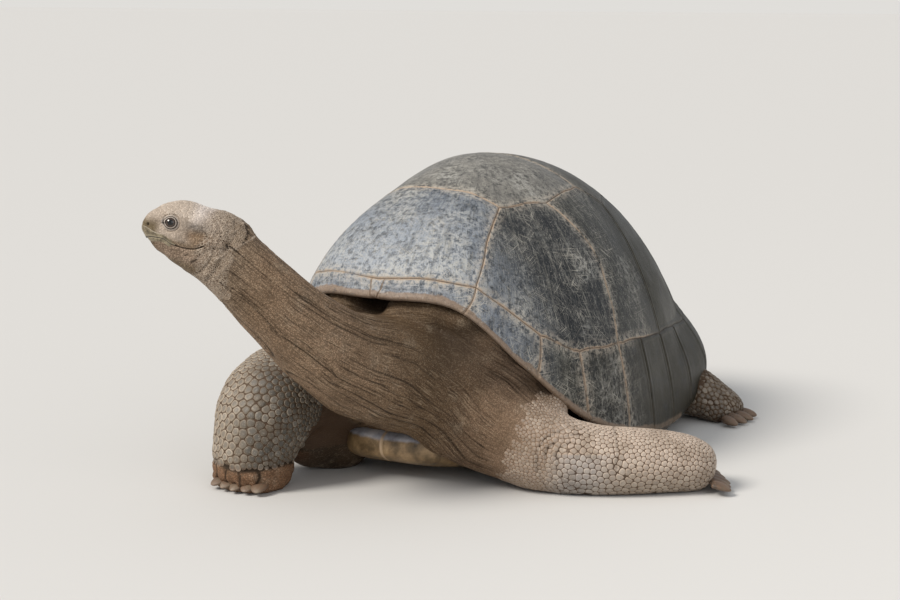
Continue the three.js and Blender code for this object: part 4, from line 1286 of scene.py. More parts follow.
# Dry hide: quite matt, with granules of 3 mm and wrinkles 3.4 and 1.8 mm wide that follow the folds,
# crossed by fainter ones. Behind the jaw it breaks into plates of 5 mm with pale lines between.
hide, shader = new_material("dry reptile hide", Roughness=0.68, IOR=1.45, Specular_IOR_Level=0.3)
spot = add_node(hide, "NewGeometry")
seen = {
    name: add_node(hide, "Attribute", output="Fac", attribute_name=name)
    for name in (
        "folded", "crease", "scaled", "lid_dark", "lid_pale", "net", "ridge_pale", "bare", "sheltered",
    )
}
for name, size, detail, rough in (("blotch", 62.5, 7, 0.68), ("where", 83, 4, 0.6), ("speck", 4.2, 3, 0.7)):
    seen[name] = add_node(hide, "TexNoise", {
        "Vector": spot, "Scale": 1000 / size, "Detail": detail, "Roughness": rough,
    })
drift = add_node(hide, "TexNoise", {"Vector": spot, "Scale": 30, "Detail": 3}, "Color")
drifted = add_node(hide, "VectorMath", {0: drift, 1: (0.012, 0.02, 0)}, operation="MULTIPLY")
lie = add_node(hide, "Attribute", output="Vector", attribute_name="lie")
lie = add_node(hide, "VectorMath", {0: lie, 1: drifted})
for name, *pattern in (  # wrinkles: their turn, then their width and length in mm
    ("long_lines", 0, 3.4, 66, 4, 0.58), ("short_lines", 0, 1.8, 29, 3, 0.6),
    ("slant_lines", 0.9, 3, 23, 2, 0.5), ("cross_lines", 0, 14.3, 3.3, 3, 0.6),
):
    seen[name] = streaks(hide, lie, *pattern)
seen["granules"] = add_node(hide, "TexVoronoi", {"Vector": spot, "Scale": 1000 / 3})
for name, output, feature in (("plate_tone", "Color", "F1"), ("plate_edge", "Distance", "DISTANCE_TO_EDGE")):
    seen[name] = add_node(hide, "TexVoronoi", {"Vector": spot, "Scale": 1000 / 5.3}, output, feature=feature)
FOLDED, WHERE = ("folded", 0, 1, 1), ("where", 0.22, 0.6, 1)
own = add_node(hide, "Attribute", output="Vector", attribute_name="hide")
colour = coated(hide, own, seen, [
    ("#55422c", ("blotch", 0.48, 0.68, 0.5)),
    ("#c9b79f", ("blotch", 0.46, 0.3, 0.3)),
    ("#3b2b1c", ("granules", 0.28, 0.55, 0.55)),
    ("#d0bda3", ("granules", 0.22, 0.06, 0.26)),
    ("#d6c6ae", ("speck", 0.54, 0.72, 0.14)),
    # The wrinkles' grooves carry painted shade and their ridges painted highlights.
    ("#251a0f", ("long_lines", 0.46, 0.35, 0.8), FOLDED, WHERE),
    ("#bda78b", ("long_lines", 0.54, 0.68, 0.42), FOLDED, WHERE),
    ("#3b2b1b", ("short_lines", 0.45, 0.35, 0.6), FOLDED),
    ("#b7a286", ("slant_lines", 0.62, 0.72, 0.25)),
    ("#43321f", ("cross_lines", 0.44, 0.3, 0.5)),
    ("#4c3d32", ("plate_tone", -0.3, 0.8, 0.85), ("net", 0, 1, 1)),
    ("#d6c6b2", ("plate_edge", 0.15, 0.04, 0.75), ("net", 0, 1, 1)),
    (own, ("bare", 0, 1, 1)),
    # Painted shade that darkens all patterns in the shelter of the shell.
    ("#1b1209", ("sheltered", 0.15, 0.95, 0.5)),
    # Painted shade in the hide's creases and deep folds, along the mouth and in the nostrils.
    ("#241809", ("crease", 0.14, 0.85, 0.9)),
    ("#cdbba8", ("ridge_pale", 0, 1, 1)),
    ("#4d3a2b", ("scaled", 0, 1, 0.8)),  # soil between the scales
    ("#aea399", ("lid_pale", 0, 1, 1)),
    ("#1d1714", ("lid_dark", 0, 1, 1)),
])
lined = add_node(hide, "Math", {0: seen["long_lines"], 1: seen["folded"]}, operation="MULTIPLY")
parted = add_node(hide, "Math", {0: seen["plate_edge"], 1: seen["net"]}, operation="MULTIPLY")
finished(hide, shader, colour, [
    (lined, 1), (seen["granules"], -0.5), (seen["short_lines"], 0.6), (seen["cross_lines"], 0.5),
    (parted, 1.5),
], 0.9, 0.0015)
skin.data.materials.append(hide)


# ---- Scales ----
# Flat horny scales pave the legs, the tail and the back of the head. They are thickenings of the hide
# itself, 5 to 18 mm across, parted by narrow grooves, and smallest where the skin has to bend.

skin_tree = BVHTree.FromBMesh(form)
face_centres = np.array([f.calc_center_median() for f in form.faces])
face_areas = np.array([f.calc_area() for f in form.faces])


def rolled(points, middle, axis, up):
    """An unwrap of a limb as a rolled sheet: turns round its axis and metres along it."""
    axis = np.array(axis) / np.linalg.norm(axis)
    up = np.array(up) - axis * np.dot(up, axis)
    up /= np.linalg.norm(up)
    v = points - np.array(middle)
    return np.stack([np.arctan2(v @ np.cross(axis, up), -(v @ up)) / (2 * np.pi) + 0.5, v @ axis], -1)


def tree_of(spots):
    tree = kdtree.KDTree(len(spots))
    for j, spot in enumerate(spots):
        tree.insert(spot, j)
    tree.balance()
    return tree


# Two scales' middles are first at least this share of their spacings' sum apart, then pushed to this.
CLOSEST, APART = 0.40, 0.56
TRIES = 9  # places drawn for each scale that would fit
PUSHES, PUSH = 7, 0.28  # rounds of pushing apart, and the share of the way that each goes


def seed_scales(spacing_at, seed):
    """Places and spacings of scales: scattered, then pushed evenly apart over the skin."""
    order = np.random.default_rng(seed)
    wanted = spacing_at(face_centres)
    chosen = np.flatnonzero(wanted > 0)
    chance = face_areas[chosen] / wanted[chosen] ** 2
    drawn = order.choice(chosen, int(chance.sum() * TRIES), p=chance / chance.sum())
    spots = face_centres[drawn] + order.normal(0, 0.0012, (len(drawn), 3))
    cell = wanted[chosen].max()
    grid, kept, sizes = {}, [], []
    for spot, size in zip(spots, wanted[drawn]):
        key = tuple(np.floor(spot / cell).astype(int))
        near_by = [
            j for dx in (-1, 0, 1) for dy in (-1, 0, 1) for dz in (-1, 0, 1)
            for j in grid.get((key[0] + dx, key[1] + dy, key[2] + dz), ())
        ]
        if all(math.dist(spot, kept[j]) > CLOSEST * (size + sizes[j]) for j in near_by):
            grid.setdefault(key, []).append(len(kept))
            kept.append(tuple(spot))
            sizes.append(size)
    spots, sizes = np.array(kept), np.array(sizes)
    for _ in range(PUSHES):
        tree = tree_of(spots)
        pushed = spots.copy()
        for j, spot in enumerate(spots):
            others = np.array([k for _, k, _ in tree.find_n(spot, 8)][1:])
            v = spot - spots[others]
            d = lengths(v)
            short = np.maximum(APART * (sizes[j] + sizes[others]) - d, 0)
            pushed[j] += (v / d[:, None] * short[:, None]).sum(0) * PUSH
        spots = np.array([skin_tree.find_nearest(Vector(spot))[0] for spot in pushed])
        sizes = np.maximum(spacing_at(spots), sizes * 0.9)
    return spots, sizes


SCALE_SIDES, HEAD_SCALE_SIDES = 12, 8
NEIGHBOURS = 2.4  # how far a scale looks for its neighbours, in its own spacings
LARGEST, SMALLEST = 0.8, 0.12  # the limits of an outline's reach, in spacings
ROOT = 0.0008  # how deep a scale's foot stands in the hide
SCALE_PROFILE = [  # rows from the foot to near the middle: share of the reach, and of the height
    (1.0, -0.9), (0.97, 0.25), (0.86, 0.80), (0.55, 1.0),
]


def scale_piece(name, spacing_at, seed, unwrap, groove, thick, tilt, distal, sides):
    """A coat of scales as one mesh: each a low cushion whose outline is set by its neighbours."""
    spots, sizes = seed_scales(spacing_at, seed)
    order = np.random.default_rng(seed + 1)
    tree = tree_of(spots)
    angles = np.arange(sides) / sides * 2 * np.pi
    points_made, faces, tones, edges, maps = [], [], [], [], []
    for j, spot in enumerate(spots):
        normal = np.array(skin_tree.find_nearest(Vector(spot))[1])
        size = sizes[j]
        first = np.cross(normal, distal(spot))
        first /= np.linalg.norm(first) + 1e-9
        second = np.cross(first, normal)  # towards the limb's end
        found = [k for _, k, _ in tree.find_range(Vector(spot), size * NEIGHBOURS) if k != j]
        if len(found) < 3:
            continue
        v = spots[found] - spot
        a, b = v @ first, v @ second
        d = np.hypot(a, b)
        d = np.maximum(d, 1e-4)
        cut = (d[:, None] / 2 - groove(size) / 2) / np.maximum(
            np.cos(angles[None] - np.arctan2(b, a)[:, None]), 0.08)
        reach = np.minimum(cut.min(0), size * LARGEST)
        reach = 0.8 * reach + 0.1 * (np.roll(reach, 1) + np.roll(reach, -1))
        if reach.min() < size * SMALLEST:
            continue
        height = thick(size) * order.uniform(0.8, 1.2)
        base = len(points_made)
        for share, up in [*SCALE_PROFILE, (0, 1.03)]:
            count = 1 if share == 0 else sides
            for i in range(count):
                x, y = math.cos(angles[i]) * reach[i] * share, math.sin(angles[i]) * reach[i] * share
                at = Vector(spot + first * x + second * y + normal * 0.001)
                place_on, n, _, _ = skin_tree.find_nearest(at)
                rise = up * height + (tilt * y if up > 0 else 0)
                points_made.append(np.array(place_on) + np.array(n) * max(rise, -ROOT))
                edges.append(share)
        tones += [order.uniform()] * (len(points_made) - base)
        root = unwrap(spot[None])[0]
        own = unwrap(np.array(points_made[base:])) - root
        own[:, 0] -= np.round(own[:, 0])
        maps.append(root + own * 0.8)
        rows = len(SCALE_PROFILE)
        faces += ring_faces(rows, sides, base)
        faces += fan_faces(base + (rows - 1) * sides, sides, base + rows * sides)
    points_made = np.array(points_made)
    points_made[:, 2] = np.maximum(points_made[:, 2], OFF_FLOOR)
    piece = new_piece(name, points_made, faces)
    store(piece, "tone", np.array(tones))
    store(piece, "hide", hide_colour(points_made))
    store(piece, "rim", np.array(edges))
    flat_map = np.vstack(maps)
    flat_map[:, 1] -= flat_map[:, 1].min()
    flat_map[:, 1] /= flat_map[:, 1].max()
    flat_map = np.clip(flat_map * 0.98 + 0.01, 0, 1)
    layer = piece.data.uv_layers.new(name="OFBake")
    corner_verts = np.empty(len(piece.data.loops), np.int32)
    piece.data.loops.foreach_get("vertex_index", corner_verts)
    layer.data.foreach_set("uv", flat_map[corner_verts].astype(np.float32).ravel())
    return piece


def towards_end(stations):
    """A function that gives the direction of a limb's axis near a place."""
    made = np.array(stations, float)[:, :3] / 1000
    middles, axes = (made[1:] + made[:-1]) / 2, made[1:] - made[:-1]
    return lambda spot: axes[lengths(middles - spot).argmin()]


def left_foreleg_spacing(at):
    away, along = off_limb(at, LEFT_FORELEG)
    size = np.interp(along, [0.22, 0.30, 0.38, 0.48, 0.6, 0.8, 1], [4, 6, 8.5, 11.5, 11.5, 10, 9]) / 1000
    size *= 1.14 - 0.36 * smooth_step(at[:, 2], 0.03, 0.12) * smooth_step(along, 0.4, 0.55)
    start = 0.27 + 0.045 * grain(at, 0.04, 77) + 0.03 * grain(at, 0.012, 78)
    inside = (away < 0.035) & (along > start) & (at[:, 0] > 0.18) & (at[:, 2] > 0.004)
    return np.where(inside & ~inside_shell(at, 0.01), size, 0)


def right_foreleg_spacing(at):
    away = off_limb(at, RIGHT_FORELEG)[0]
    neck = off_limb(at, NECK)[0]
    size = np.interp(at[:, 2], [0.05, 0.1, 0.2, 0.27, 0.32], [12, 17, 16.5, 13, 9]) / 1000
    size *= np.interp(at[:, 1], [-0.6, -0.48, -0.40], [1, 0.65, 0.4])
    size *= np.interp(at[:, 0], [-0.19, -0.13, -0.085], [1, 0.8, 0.5])
    # The coat's lower end slants up towards the chest: inward runs level across the leg.
    inward = 0.866 * at[:, 0] + 0.5 * at[:, 1]
    ragged = at[:, 2] + 0.008 * grain(at, 0.02, 75)
    ragged -= np.interp(inward, [-0.435, -0.405, -0.37], [0, 0.05, 0.11])
    reach = np.interp(at[:, 0], [-0.19, -0.145], [0.05, 0.010])
    inside = (away < reach) & (away < neck - 0.004) & (ragged > 0.056) & (at[:, 1] < -0.49)
    return np.where(inside & (at[:, 0] < -0.085 + 0.006 * grain(at, 0.03, 76)), size, 0)


def hind_spacing(side, stations):
    def spacing(at):
        away, along = off_limb(at, stations)
        size = np.interp(along, [0, 0.3, 0.6, 1], [7, 10.5, 12.5, 10]) / 1000
        inside = (away < 0.04) & (at[:, 0] * side > 0.1) & (at[:, 1] > 0.2) & (at[:, 2] > 0.006)
        return np.where(inside & ~inside_shell(at, 0.012), size, 0)
    return spacing


def tail_spacing(at):
    away, along = off_limb(at, TAIL)
    inside = (away < 0.03) & (at[:, 1] > 0.44) & (np.abs(at[:, 0]) < 0.12) & (at[:, 2] > 0.004)
    return np.where(inside & ~inside_shell(at, 0.0), 0.0085 - 0.002 * along, 0)


def head_spacing(at):
    back, aside, up = in_half_head(at).T
    size = np.interp(back, [0.08, 0.11, 0.14, 0.2], [5.6, 4.6, 4.2, 4.0]) / 1000
    crown = smooth_step(up, 0.030, 0.046) * fall(back, 0.09, 0.13)
    size = size * (1 - crown) + 0.0095 * crown
    eye = lengths(in_half_head(at) - EYE_CENTRE - [0, 0.013, 0])
    end = 0.168 + 0.02 * grain(at, 0.03, 73)
    inside = (back > 0.022) & (back < end) & (aside < 0.1) & (np.abs(up) < 0.12) & (eye > 0.0215)
    inside &= (up > 0.034) | (back > 0.112 + 0.008 * grain(at, 0.02, 74))
    drum = lengths(np.stack([(back - 0.099) / 1.5, up - 0.014], -1))
    return np.where(inside & (drum > 0.0135), size, 0)


scale_coats = [
    ("scales_foreleg_left", left_foreleg_spacing, 61, LEFT_FORELEG, 0.02, "leg_skin",
     ["foreleg_left_lower", "foreleg_left_foot"]),
    ("scales_foreleg_right", right_foreleg_spacing, 63, RIGHT_FORELEG, 0.085, "leg_skin",
     ["foreleg_right_lower", "foreleg_right_foot"]),
    ("scales_hindleg_left", hind_spacing(1, HIND_LEG), 65, HIND_LEG, 0.06, "leg_skin",
     ["hindleg_left_thigh", "hindleg_left_foot"]),
    ("scales_hindleg_right", hind_spacing(-1, RIGHT_HIND_LEG), 67, RIGHT_HIND_LEG, 0.06, "leg_skin",
     ["hindleg_right_thigh", "hindleg_right_foot"]),
    ("scales_tail", tail_spacing, 69, TAIL, 0.04, "leg_skin", ["tail"]),
    ("scales_head", head_spacing, 71, NECK, 0.0, "head_skin", ["head", "lower_jaw"]),
]
scale_pieces = {}
for name, spacing, seed, stations, tilt, slot, nodes in scale_coats:
    made = np.array(stations, float)[:, :3] / 1000
    is_headcoat = name == "scales_head"
    middle = HEAD_TIP if is_headcoat else made.mean(0)
    axis = -HEAD_AXIS if is_headcoat else made[-1] - made[0]
    up = HEAD_UP if is_headcoat else ([0, 1, 0] if name == "scales_foreleg_right" else [0, 0, 1])
    piece = scale_piece(
        name, spacing, seed, lambda p, m=middle, a=axis, u=up: rolled(p, m, a, u),
        (lambda s: 0.0003 + 0.03 * s) if is_headcoat else (lambda s: 0.0005 + 0.012 * s),
        (lambda s: 0.0003 + 0.015 * s) if is_headcoat else (lambda s: 0.0004 + 0.045 * s),
        tilt, towards_end(stations), HEAD_SCALE_SIDES if is_headcoat else SCALE_SIDES,
    )
    scale_pieces[name] = piece
    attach(piece, "root")
    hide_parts(*nodes)


# Scales of the hide: a little smoother than the skin between, rubbed pale on their crowns, and with
# soil at their feet. rim_pale is how much the thin growing edge shows as a pale line, and core_share
# how much of the middle has the colour core.
def scale_horn(name, rim_pale, rim_colour, core, core_share):
    material, shader = new_material(name, Roughness=0.56, IOR=1.5)
    spot = add_node(material, "NewGeometry")
    seen = {
        name: add_node(material, "Attribute", output="Fac", attribute_name=name) for name in ("rim", "tone")
    }
    for name, size, detail, rough in (("blotch", 50, 5, 0.6), ("speck", 3.85, 4, 0.7)):  # sizes in mm
        seen[name] = add_node(material, "TexNoise", {
            "Vector": spot, "Scale": 1000 / size, "Detail": detail, "Roughness": rough,
        })
    own = add_node(material, "Attribute", output="Vector", attribute_name="hide")
    colour = coated(material, own, seen, [
        ("#d8cab8", ("tone", 0.55, 1, 0.22)),
        ("#6e6152", ("tone", 0.4, 0, 0.25)),
        (core, ("rim", 0.8, 0.45, core_share)),
        ("#6d5c47", ("blotch", 0.44, 0.7, 0.45)),
        ("#4c3e30", ("speck", 0.52, 0.75, 0.4)),
        ("#ddd0c0", ("speck", 0.48, 0.25, 0.3)),
        (rim_colour, ("rim", 0.8, 0.9, rim_pale), ("blotch", 0.7, 0.4, 1)),
        ("#4b3727", ("rim", 0.965, 1, 0.8)),  # soil at the foot
    ])
    finished(material, shader, colour, [(seen["speck"], 1)], 0.4, 0.0006)
    return material


leg_horn = scale_horn("rubbed leg scales", 0.15, "#d8cab8", "#8d8a86", 0.3)
# A darker copy for the right foreleg: its darker cores are partly painted shade.
shaded_horn = scale_horn("grey leg scales with pale edges", 0.28, "#b3a590", "#50504d", 0.5)
head_horn = scale_horn("thin head scales", 0.35, "#dccfc0", "#7d6f63", 0.35)
for name, piece in scale_pieces.items():
    horn = {"scales_head": head_horn, "scales_foreleg_right": shaded_horn}.get(name, leg_horn)
    piece.data.materials.append(horn)


# ---- Beak ----
# Sheaths of horn over both jaws instead of teeth: a cutting edge along the mouth, hooked a little in
# front, ribbed by growth and chipped, stained brown and yellow by feeding.

BEAK_TURNS = np.radians(np.linspace(-112, 112, 181))


def jaw_sheath(name, side, front_height, side_height, thick, hook):
    """A sheath over one jaw: side is 1 above the mouth and -1 below it."""
    origin = HEAD_TIP - HEAD_AXIS * 0.046
    degrees = np.abs(np.degrees(BEAK_TURNS))
    points_made, stripes = [], []
    share_rows = [*np.linspace(1, 0, 15), 0, 0.5]
    outer = len(share_rows) - 2
    for i, turn in enumerate(BEAK_TURNS):
        direction = HEAD_AXIS * math.cos(turn) + HEAD_SIDE * math.sin(turn)
        edge = -0.0145
        for _ in range(3):
            hit = skin_tree.ray_cast(Vector(origin + HEAD_UP * (edge + 0.004 * side)), Vector(direction))[0]
            mouth_back = float(in_head(np.array(hit))[0])
            edge = float(np.interp(mouth_back, mouth_curve[:, 0], mouth_curve[:, 1]))
        tall = side_height + (front_height - side_height) * math.exp(-((degrees[i] / 42) ** 2))
        edge_low = edge - hook * math.exp(-((degrees[i] / 24) ** 2))
        fade = float(smooth_step(112 - degrees[i], 0.0, 16.0))
        for row, share in enumerate(share_rows):
            up = edge_low + (edge + tall * side - edge_low) * share
            sample = max(up, edge + 0.0032) if side > 0 else min(up, edge - 0.0032)
            start = Vector(origin + HEAD_UP * sample)
            hit, normal, _, _ = skin_tree.ray_cast(start, Vector(direction))
            rise = thick * (1 - share**4) * fade - 0.0006 * (1 - fade) - 0.0005 * (share == 1)
            if row >= outer:
                rise = -0.0022
            slope = 0.9 * math.exp(-((degrees[i] / 40) ** 2)) * abs(up - sample) * (side > 0)
            points_made.append(
                np.array(hit) + HEAD_UP * (up - sample) - direction * slope
                + (np.array(normal) * 0.6 + direction * 0.4) * rise
            )
            stripes.append((degrees[i] * np.sign(turn) * 0.0006, up, share))
    points_made, stripes = np.array(points_made), np.array(stripes)
    outward = points_made - (origin - HEAD_UP * 0.012)
    outward /= np.linalg.norm(outward, axis=1, keepdims=True)
    ribs = 0.00016 * grain(stripes * [900, 60, 0] * 0.001, 0.001, 81)
    points_made += outward * (ribs + 0.0002 * grain(points_made, 0.006, 82))[:, None]
    chips = 0.0003 * grain(points_made, 0.003, 83) * (stripes[:, 2] < 0.05)
    points_made += HEAD_UP * chips[:, None]
    rows, count = len(share_rows), len(BEAK_TURNS)
    faces = []
    for i in range(count - 1):
        for row in range(rows):
            nxt = (row + 1) % rows
            faces.append((i * rows + row, i * rows + nxt, (i + 1) * rows + nxt, (i + 1) * rows + row))
    faces += [tuple(range(rows))[::-1], tuple((count - 1) * rows + k for k in range(rows))]
    if side < 0:
        faces = [f[::-1] for f in faces]
    piece = new_piece(name, points_made, faces)
    store(piece, "stripe", stripes)
    return piece


# Horn of the jaws: satin, yellow-brown with darker streaks of growth and a worn pale cutting edge.
jaw_horn, shader = new_material("stained jaw horn", Roughness=0.38, IOR=1.54)
stripe = add_node(jaw_horn, "Attribute", output="Vector", attribute_name="stripe")
drawn = add_node(jaw_horn, "VectorMath", {0: stripe, 1: (1100, 90, 0)}, operation="MULTIPLY")  # 0.9 mm by 11
growth = add_node(jaw_horn, "TexNoise", {"Vector": drawn, "Scale": 1, "Detail": 3})
stain = add_node(jaw_horn, "TexNoise", {
    "Vector": add_node(jaw_horn, "NewGeometry"), "Scale": 1000 / 9, "Detail": 5, "Roughness": 0.65,
})
seen = {"growth": growth, "from_edge": add_node(jaw_horn, "SeparateXYZ", {0: stripe}, 2)}
base = add_node(jaw_horn, "ValToRGB", {"Fac": stain}, stops=[
    (0.3, "#3d362a"), (0.45, "#6a5f4a"), (0.58, "#8a7e66"), (0.75, "#a89c84"),
])
colour = coated(jaw_horn, base, seen, [
    ("#4a3c28", ("growth", 0.48, 0.3, 0.6)),
    ("#b7aa90", ("from_edge", 0.4, 0.1, 0.35)),
    ("#1d150e", ("from_edge", 0.16, 0.06, 0.92)),  # the shadowed line of the mouth
    ("#8f806a", ("from_edge", 0.7, 1, 0.6)),
])
finished(jaw_horn, shader, colour, [(growth, 1)], 0.4, 0.0006)
for name, side, front, sides, thick, hook in (
    ("beak_upper", 1, 0.0165, 0.0065, 0.0009, 0.0075), ("beak_lower", -1, 0.0125, 0.0075, 0.0009, -0.0012),
):
    piece = jaw_sheath("horn_" + name, side, front, sides, thick, hook)
    piece.data.materials.append(jaw_horn)
    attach(piece, "root")
    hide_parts(name)

# ---- Eyes ----
# Moist eyeballs that sit in the lids' openings, with a round black pupil in a dark brown iris.

wet_eye, shader = new_material("moist eye", Roughness=0.05, IOR=1.376, Coat_Weight=0.6, Coat_Roughness=0.02)
ray = add_node(wet_eye, "Attribute", output="Vector", attribute_name="ray")
rays = add_node(wet_eye, "TexNoise", {"Vector": ray, "Scale": 9, "Detail": 4})
iris = add_node(wet_eye, "ValToRGB", {"Fac": rays}, stops=[
    (0.3, "#1f1510"), (0.5, "#3d2c20"), (0.7, "#66523f"),
])
seen = {"off_axis": add_node(wet_eye, "Attribute", output="Fac", attribute_name="off_axis")}
colour = coated(wet_eye, iris, seen, [
    ("#1c1410", ("off_axis", 7.2, 8.2, 1)), ("#050403", ("off_axis", 5.7, 5.2, 1)),
])
wet_eye.node_tree.links.new(colour, shader.inputs["Base Color"])
for name, side in (("eye_left", 1), ("eye_right", -1)):
    back, aside, up = EYE_CENTRE * [1, side, 1]
    centre = HEAD_TIP - HEAD_AXIS * back + HEAD_SIDE * aside + HEAD_UP * up
    out = -HEAD_AXIS * EYE_AXIS[0] + HEAD_SIDE * EYE_AXIS[1] * side + HEAD_UP * EYE_AXIS[2]
    out /= np.linalg.norm(out)
    first = np.cross(out, HEAD_UP)
    first /= np.linalg.norm(first)
    second = np.cross(first, out)
    tilts, turns_round = np.linspace(0, np.pi, 40)[1:-1], np.arange(56) / 56 * 2 * np.pi
    radius = EYE_RADIUS + 0.0008 * bump(tilts, 0.45)  # the cornea bulges
    ball = [centre + out * (EYE_RADIUS + 0.0008)]
    off, ray_at = [0.0], [np.zeros(3)]
    for tilt, r in zip(tilts, radius):
        for turn in turns_round:
            round_way = first * math.cos(turn) + second * math.sin(turn)
            ball.append(centre + r * (out * math.cos(tilt) + round_way * math.sin(tilt)))
            off.append(1000 * r * math.sin(tilt) if tilt < np.pi / 2 else 30.0)
            ray_at.append(np.array([math.cos(turn), math.sin(turn), 0.2 * tilt]))
    ball.append(centre - out * EYE_RADIUS)
    off.append(30.0)
    ray_at.append(np.zeros(3))
    n, last = 56, len(ball) - 1
    faces = [(tip, b, a) for a, b, tip in fan_faces(1, n, 0)]
    faces += ring_faces(len(tilts), n, 1)
    faces += [(tip, a, b) for a, b, tip in fan_faces(last - n, n, last)]
    ball = np.array(ball)
    piece = new_piece("ball_" + name, ball, facing(faces, ball[list(faces[0])], out))
    store(piece, "off_axis", np.array(off))
    store(piece, "ray", np.array(ray_at))
    piece.data.materials.append(wet_eye)
    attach(piece, "root")
    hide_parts(name)

# ---- Claws ----
# Blunt nails of horn, worn round at the tip by walking, ribbed along their length and dull with soil.
# The forefeet's are the broadest.

# Claw horn: dull and dark at the root, with dried soil in the ribs and a rubbed paler tip.
claw_horn, shader = new_material("muddy claw horn", Roughness=0.55, IOR=1.54)
reach = add_node(claw_horn, "Attribute", output="Fac", attribute_name="reach")
seen = {"soil": add_node(claw_horn, "TexNoise", {
    "Vector": add_node(claw_horn, "NewGeometry"), "Scale": 1000 / 10.5, "Detail": 6, "Roughness": 0.7,
})}
length_wise = add_node(claw_horn, "ValToRGB", {"Fac": reach}, stops=[
    (0, "#3f3226"), (0.4, "#5a4a3a"), (0.8, "#776856"), (1, "#8c7f6e"),
])
colour = coated(claw_horn, length_wise, seen, [("#6a5240", ("soil", 0.36, 0.56, 0.85))])
finished(claw_horn, shader, colour, [(seen["soil"], 1)], 0.6, 0.001)
CLAW_PROFILE = [  # along the claw, then its radius, both as shares
    (0, 0.98), (0.12, 1.04), (0.3, 1.0), (0.5, 0.92), (0.68, 0.78), (0.82, 0.60), (0.92, 0.40), (0.98, 0.2),
]
for name in sorted(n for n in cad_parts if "_claw_" in n):
    corners_at = np.array([v.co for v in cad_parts[name].data.vertices])
    middle = corners_at.mean(0)
    axis = np.linalg.svd(corners_at - middle)[2][0]
    along = (corners_at - middle) @ axis
    away = lengths(corners_at - middle - along[:, None] * axis)
    if away[along > 0].mean() > away[along < 0].mean():
        axis, along = -axis, -along
    base, length, radius = middle + axis * along.min(), np.ptp(along), away.max()
    if name.startswith("foreleg_right"):
        base = base - axis * length * 0.3
    level = np.cross(axis, [0, 0, 1])
    level /= np.linalg.norm(level)
    above = np.cross(level, axis)
    broad, flatness = (1.42, 0.62) if name.startswith("foreleg") else (1.12, 0.8)
    count = 24
    a = np.arange(count) / count * 2 * np.pi
    claw_points, reaches = [], []
    for share, size in [(-0.18, 0.9), *CLAW_PROFILE]:
        droop = above * (-0.10 * length * max(share, 0) ** 2)
        rib = 1 + 0.04 * grain(np.stack([np.cos(a) * 3, np.sin(a) * 3, 0 * a + share * 0.5], -1), 0.7, 91)
        claw_points.append(
            base + axis * length * share + droop
            + np.outer(np.cos(a) * rib, level) * radius * size * broad
            + np.outer(np.sin(a) * rib, above) * radius * size * flatness
        )
        reaches += [max(share, 0)] * count
    claw_points = np.vstack([*claw_points, base - axis * length * 0.18,
                             base + axis * length - above * 0.1 * length])
    claw_points[:, 2] = np.maximum(claw_points[:, 2], 2 * OFF_FLOOR)
    rows = len(CLAW_PROFILE) + 1
    faces = ring_faces(rows, count)
    faces += [(b, a, tip) for a, b, tip in fan_faces(0, count, rows * count)]
    faces += fan_faces((rows - 1) * count, count, rows * count + 1)
    three = claw_points[list(faces[0][:3])]
    piece = new_piece("nail_" + name, claw_points, facing(faces, three, three[0] - middle))
    store(piece, "reach", np.array([*reaches, 0.0, 1.0]))
    rounder = piece.modifiers.new("rounder", "SUBSURF")
    rounder.levels = rounder.render_levels = 1
    piece.data.materials.append(claw_horn)
    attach(piece, "root")
    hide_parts(name)

# ---- Plastron ----
# The flat lower shell, of horny plates on bone, that the animal rests on. Its front lip is thick and
# turned up and rubbed, with a bluish sky sheen painted where it faces up, and a pale seam runs down its
# middle.

PLASTRON_CELL = 0.007
shield = remeshed(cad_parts["plastron"].data.copy(), PLASTRON_CELL)


def is_lip(at):
    return (at[:, 1] < -0.36) & (np.abs(at[:, 0]) < 0.2)


def is_lip_front(at):
    return (at[:, 1] < -0.42) & (np.abs(at[:, 0]) < 0.16)


even = np.full(len(shield.verts), 0.5)
place(shield, averaged(positions(shield), edge_pairs(shield), 8, even))
refine(shield, is_lip, 3)
refine(shield, is_lip_front, 3)
shield.normal_update()
at = positions(shield)
normals = np.array([v.normal for v in shield.verts])
wander = 0.004 * grain(at, 0.05, 95)
PLASTRON_SEAMS = [-0.405, -0.255, -0.03, 0.14, 0.29]  # across it, from the lip back
cross_gap = np.min([np.abs(at[:, 1] - y + 0.02 * np.cos(at[:, 0] * 9) + wander) for y in PLASTRON_SEAMS], 0)
gap = np.minimum(np.abs(at[:, 0] + wander), cross_gap)
lift = -0.0014 * bump(gap, 0.0022) + 0.0010 * grain(at, 0.05, 96) + 0.0003 * grain(at, 0.012, 97)
at = at + normals * lift[:, None]
at[:, 2] += 0.008 * smooth_step(-at[:, 1], 0.42, 0.50) * smooth_step(at[:, 2], 0.055, 0.085)
at[:, 2] = np.maximum(at[:, 2], 0.0)
place(shield, at)
mesh = bpy.data.meshes.new("shield")
shield.to_mesh(mesh)
shield.free()
plastron = piece_of("shield_plastron", mesh)
store(plastron, "seam_gap", gap)
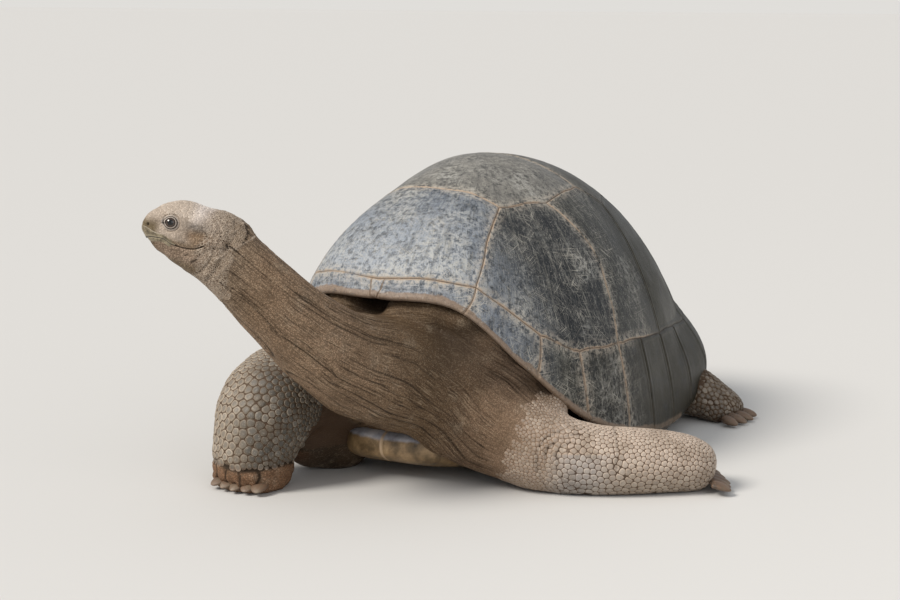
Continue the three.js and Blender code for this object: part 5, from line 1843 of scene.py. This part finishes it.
# Belly horn: tan, worn, darker where soiled; the lip's smoother top and all that faces up get a painted
# blue-grey sky sheen.
belly_horn, shader = new_material("worn belly horn", Roughness=0.4, IOR=1.54)
stain = add_node(belly_horn, "TexNoise", {
    "Vector": add_node(belly_horn, "NewGeometry"), "Scale": 1000 / 38.5, "Detail": 7, "Roughness": 0.65,
})
tan, sky_sheen = (
    add_node(belly_horn, "ValToRGB", {"Fac": stain}, stops=stops) for stops in (
        [(0.3, "#3f3220"), (0.45, "#6b5639"), (0.6, "#957a57"), (0.75, "#b89d76")],
        [(0.3, "#77757a"), (0.5, "#a3a3aa"), (0.7, "#cbc8c8")],
    )
)
outwards = add_node(belly_horn, "NewGeometry", output="Normal")
seen = {
    "facing_up": add_node(belly_horn, "SeparateXYZ", {0: outwards}, 2),
    "seam_gap": add_node(belly_horn, "Attribute", output="Fac", attribute_name="seam_gap"),
}
# Painted sky sheen: blue-grey on faces that point up.
colour = coated(belly_horn, tan, seen, [
    (sky_sheen, ("facing_up", 0.35, 0.65, 1)), ("#c3a889", ("seam_gap", 0.0052, 0.0016, 0.8)),
])
finished(belly_horn, shader, colour, [(stain, 1)], 0.3, 0.002)
plastron.data.materials.append(belly_horn)
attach(plastron, "root")
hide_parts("plastron")

# ---- Floor and light ----
# A plain pale floor that runs to the horizon, a soft sun from the front, left and above, a weaker
# lamp from the other side, and an even sky of the floor's own tone.
floor_mesh = bpy.data.meshes.new("floor")
floor_mesh.from_pydata([(-60, -60, 0), (60, -60, 0), (60, 60, 0), (-60, 60, 0)], [], [(0, 1, 2, 3)])
floor = bpy.data.objects.new("floor", floor_mesh)
scene.collection.objects.link(floor)
floor_paint, shader = new_material(
    "matt pale floor", Roughness=0.9, IOR=1.5, Specular_IOR_Level=0.05, Base_Color=linear("#d0cecb"),
)
floor.data.materials.append(floor_paint)
side_lamp = bpy.data.objects.new("side_lamp", bpy.data.lights.new("side_lamp", "AREA"))
side_lamp.data.size = 3.0
side_lamp.data.energy = 30
side_lamp.location = (3.6, -2.4, 2.4)
aim = Vector((0, -0.2, 0.3))
side_lamp.rotation_euler = (aim - side_lamp.location).to_track_quat("-Z", "Y").to_euler()
scene.collection.objects.link(side_lamp)
sun = bpy.data.objects.new("sun", bpy.data.lights.new("sun", "SUN"))
sun.data.energy = 2.9
sun.data.angle = math.radians(22)
sun.data.color = linear("#fffaf2")[:3]
sun.rotation_euler = Vector((0.42, 0.62, -0.72)).to_track_quat("-Z", "Y").to_euler()
scene.collection.objects.link(sun)
world = bpy.data.worlds.new("even sky")
scene.world = world
world.use_nodes = True
sky = world.node_tree.nodes["Background"]
sky.inputs["Color"].default_value = linear("#eceff3")
sky.inputs["Strength"].default_value = 0.65
seen_sky = add_node(world, "Background", {"Color": linear("#e0deda")})
camera_ray = add_node(world, "LightPath", output="Is Camera Ray")
either = add_node(world, "MixShader", {0: camera_ray, 1: sky.outputs[0], 2: seen_sky})
world.node_tree.links.new(either, world.node_tree.nodes["World Output"].inputs[0])
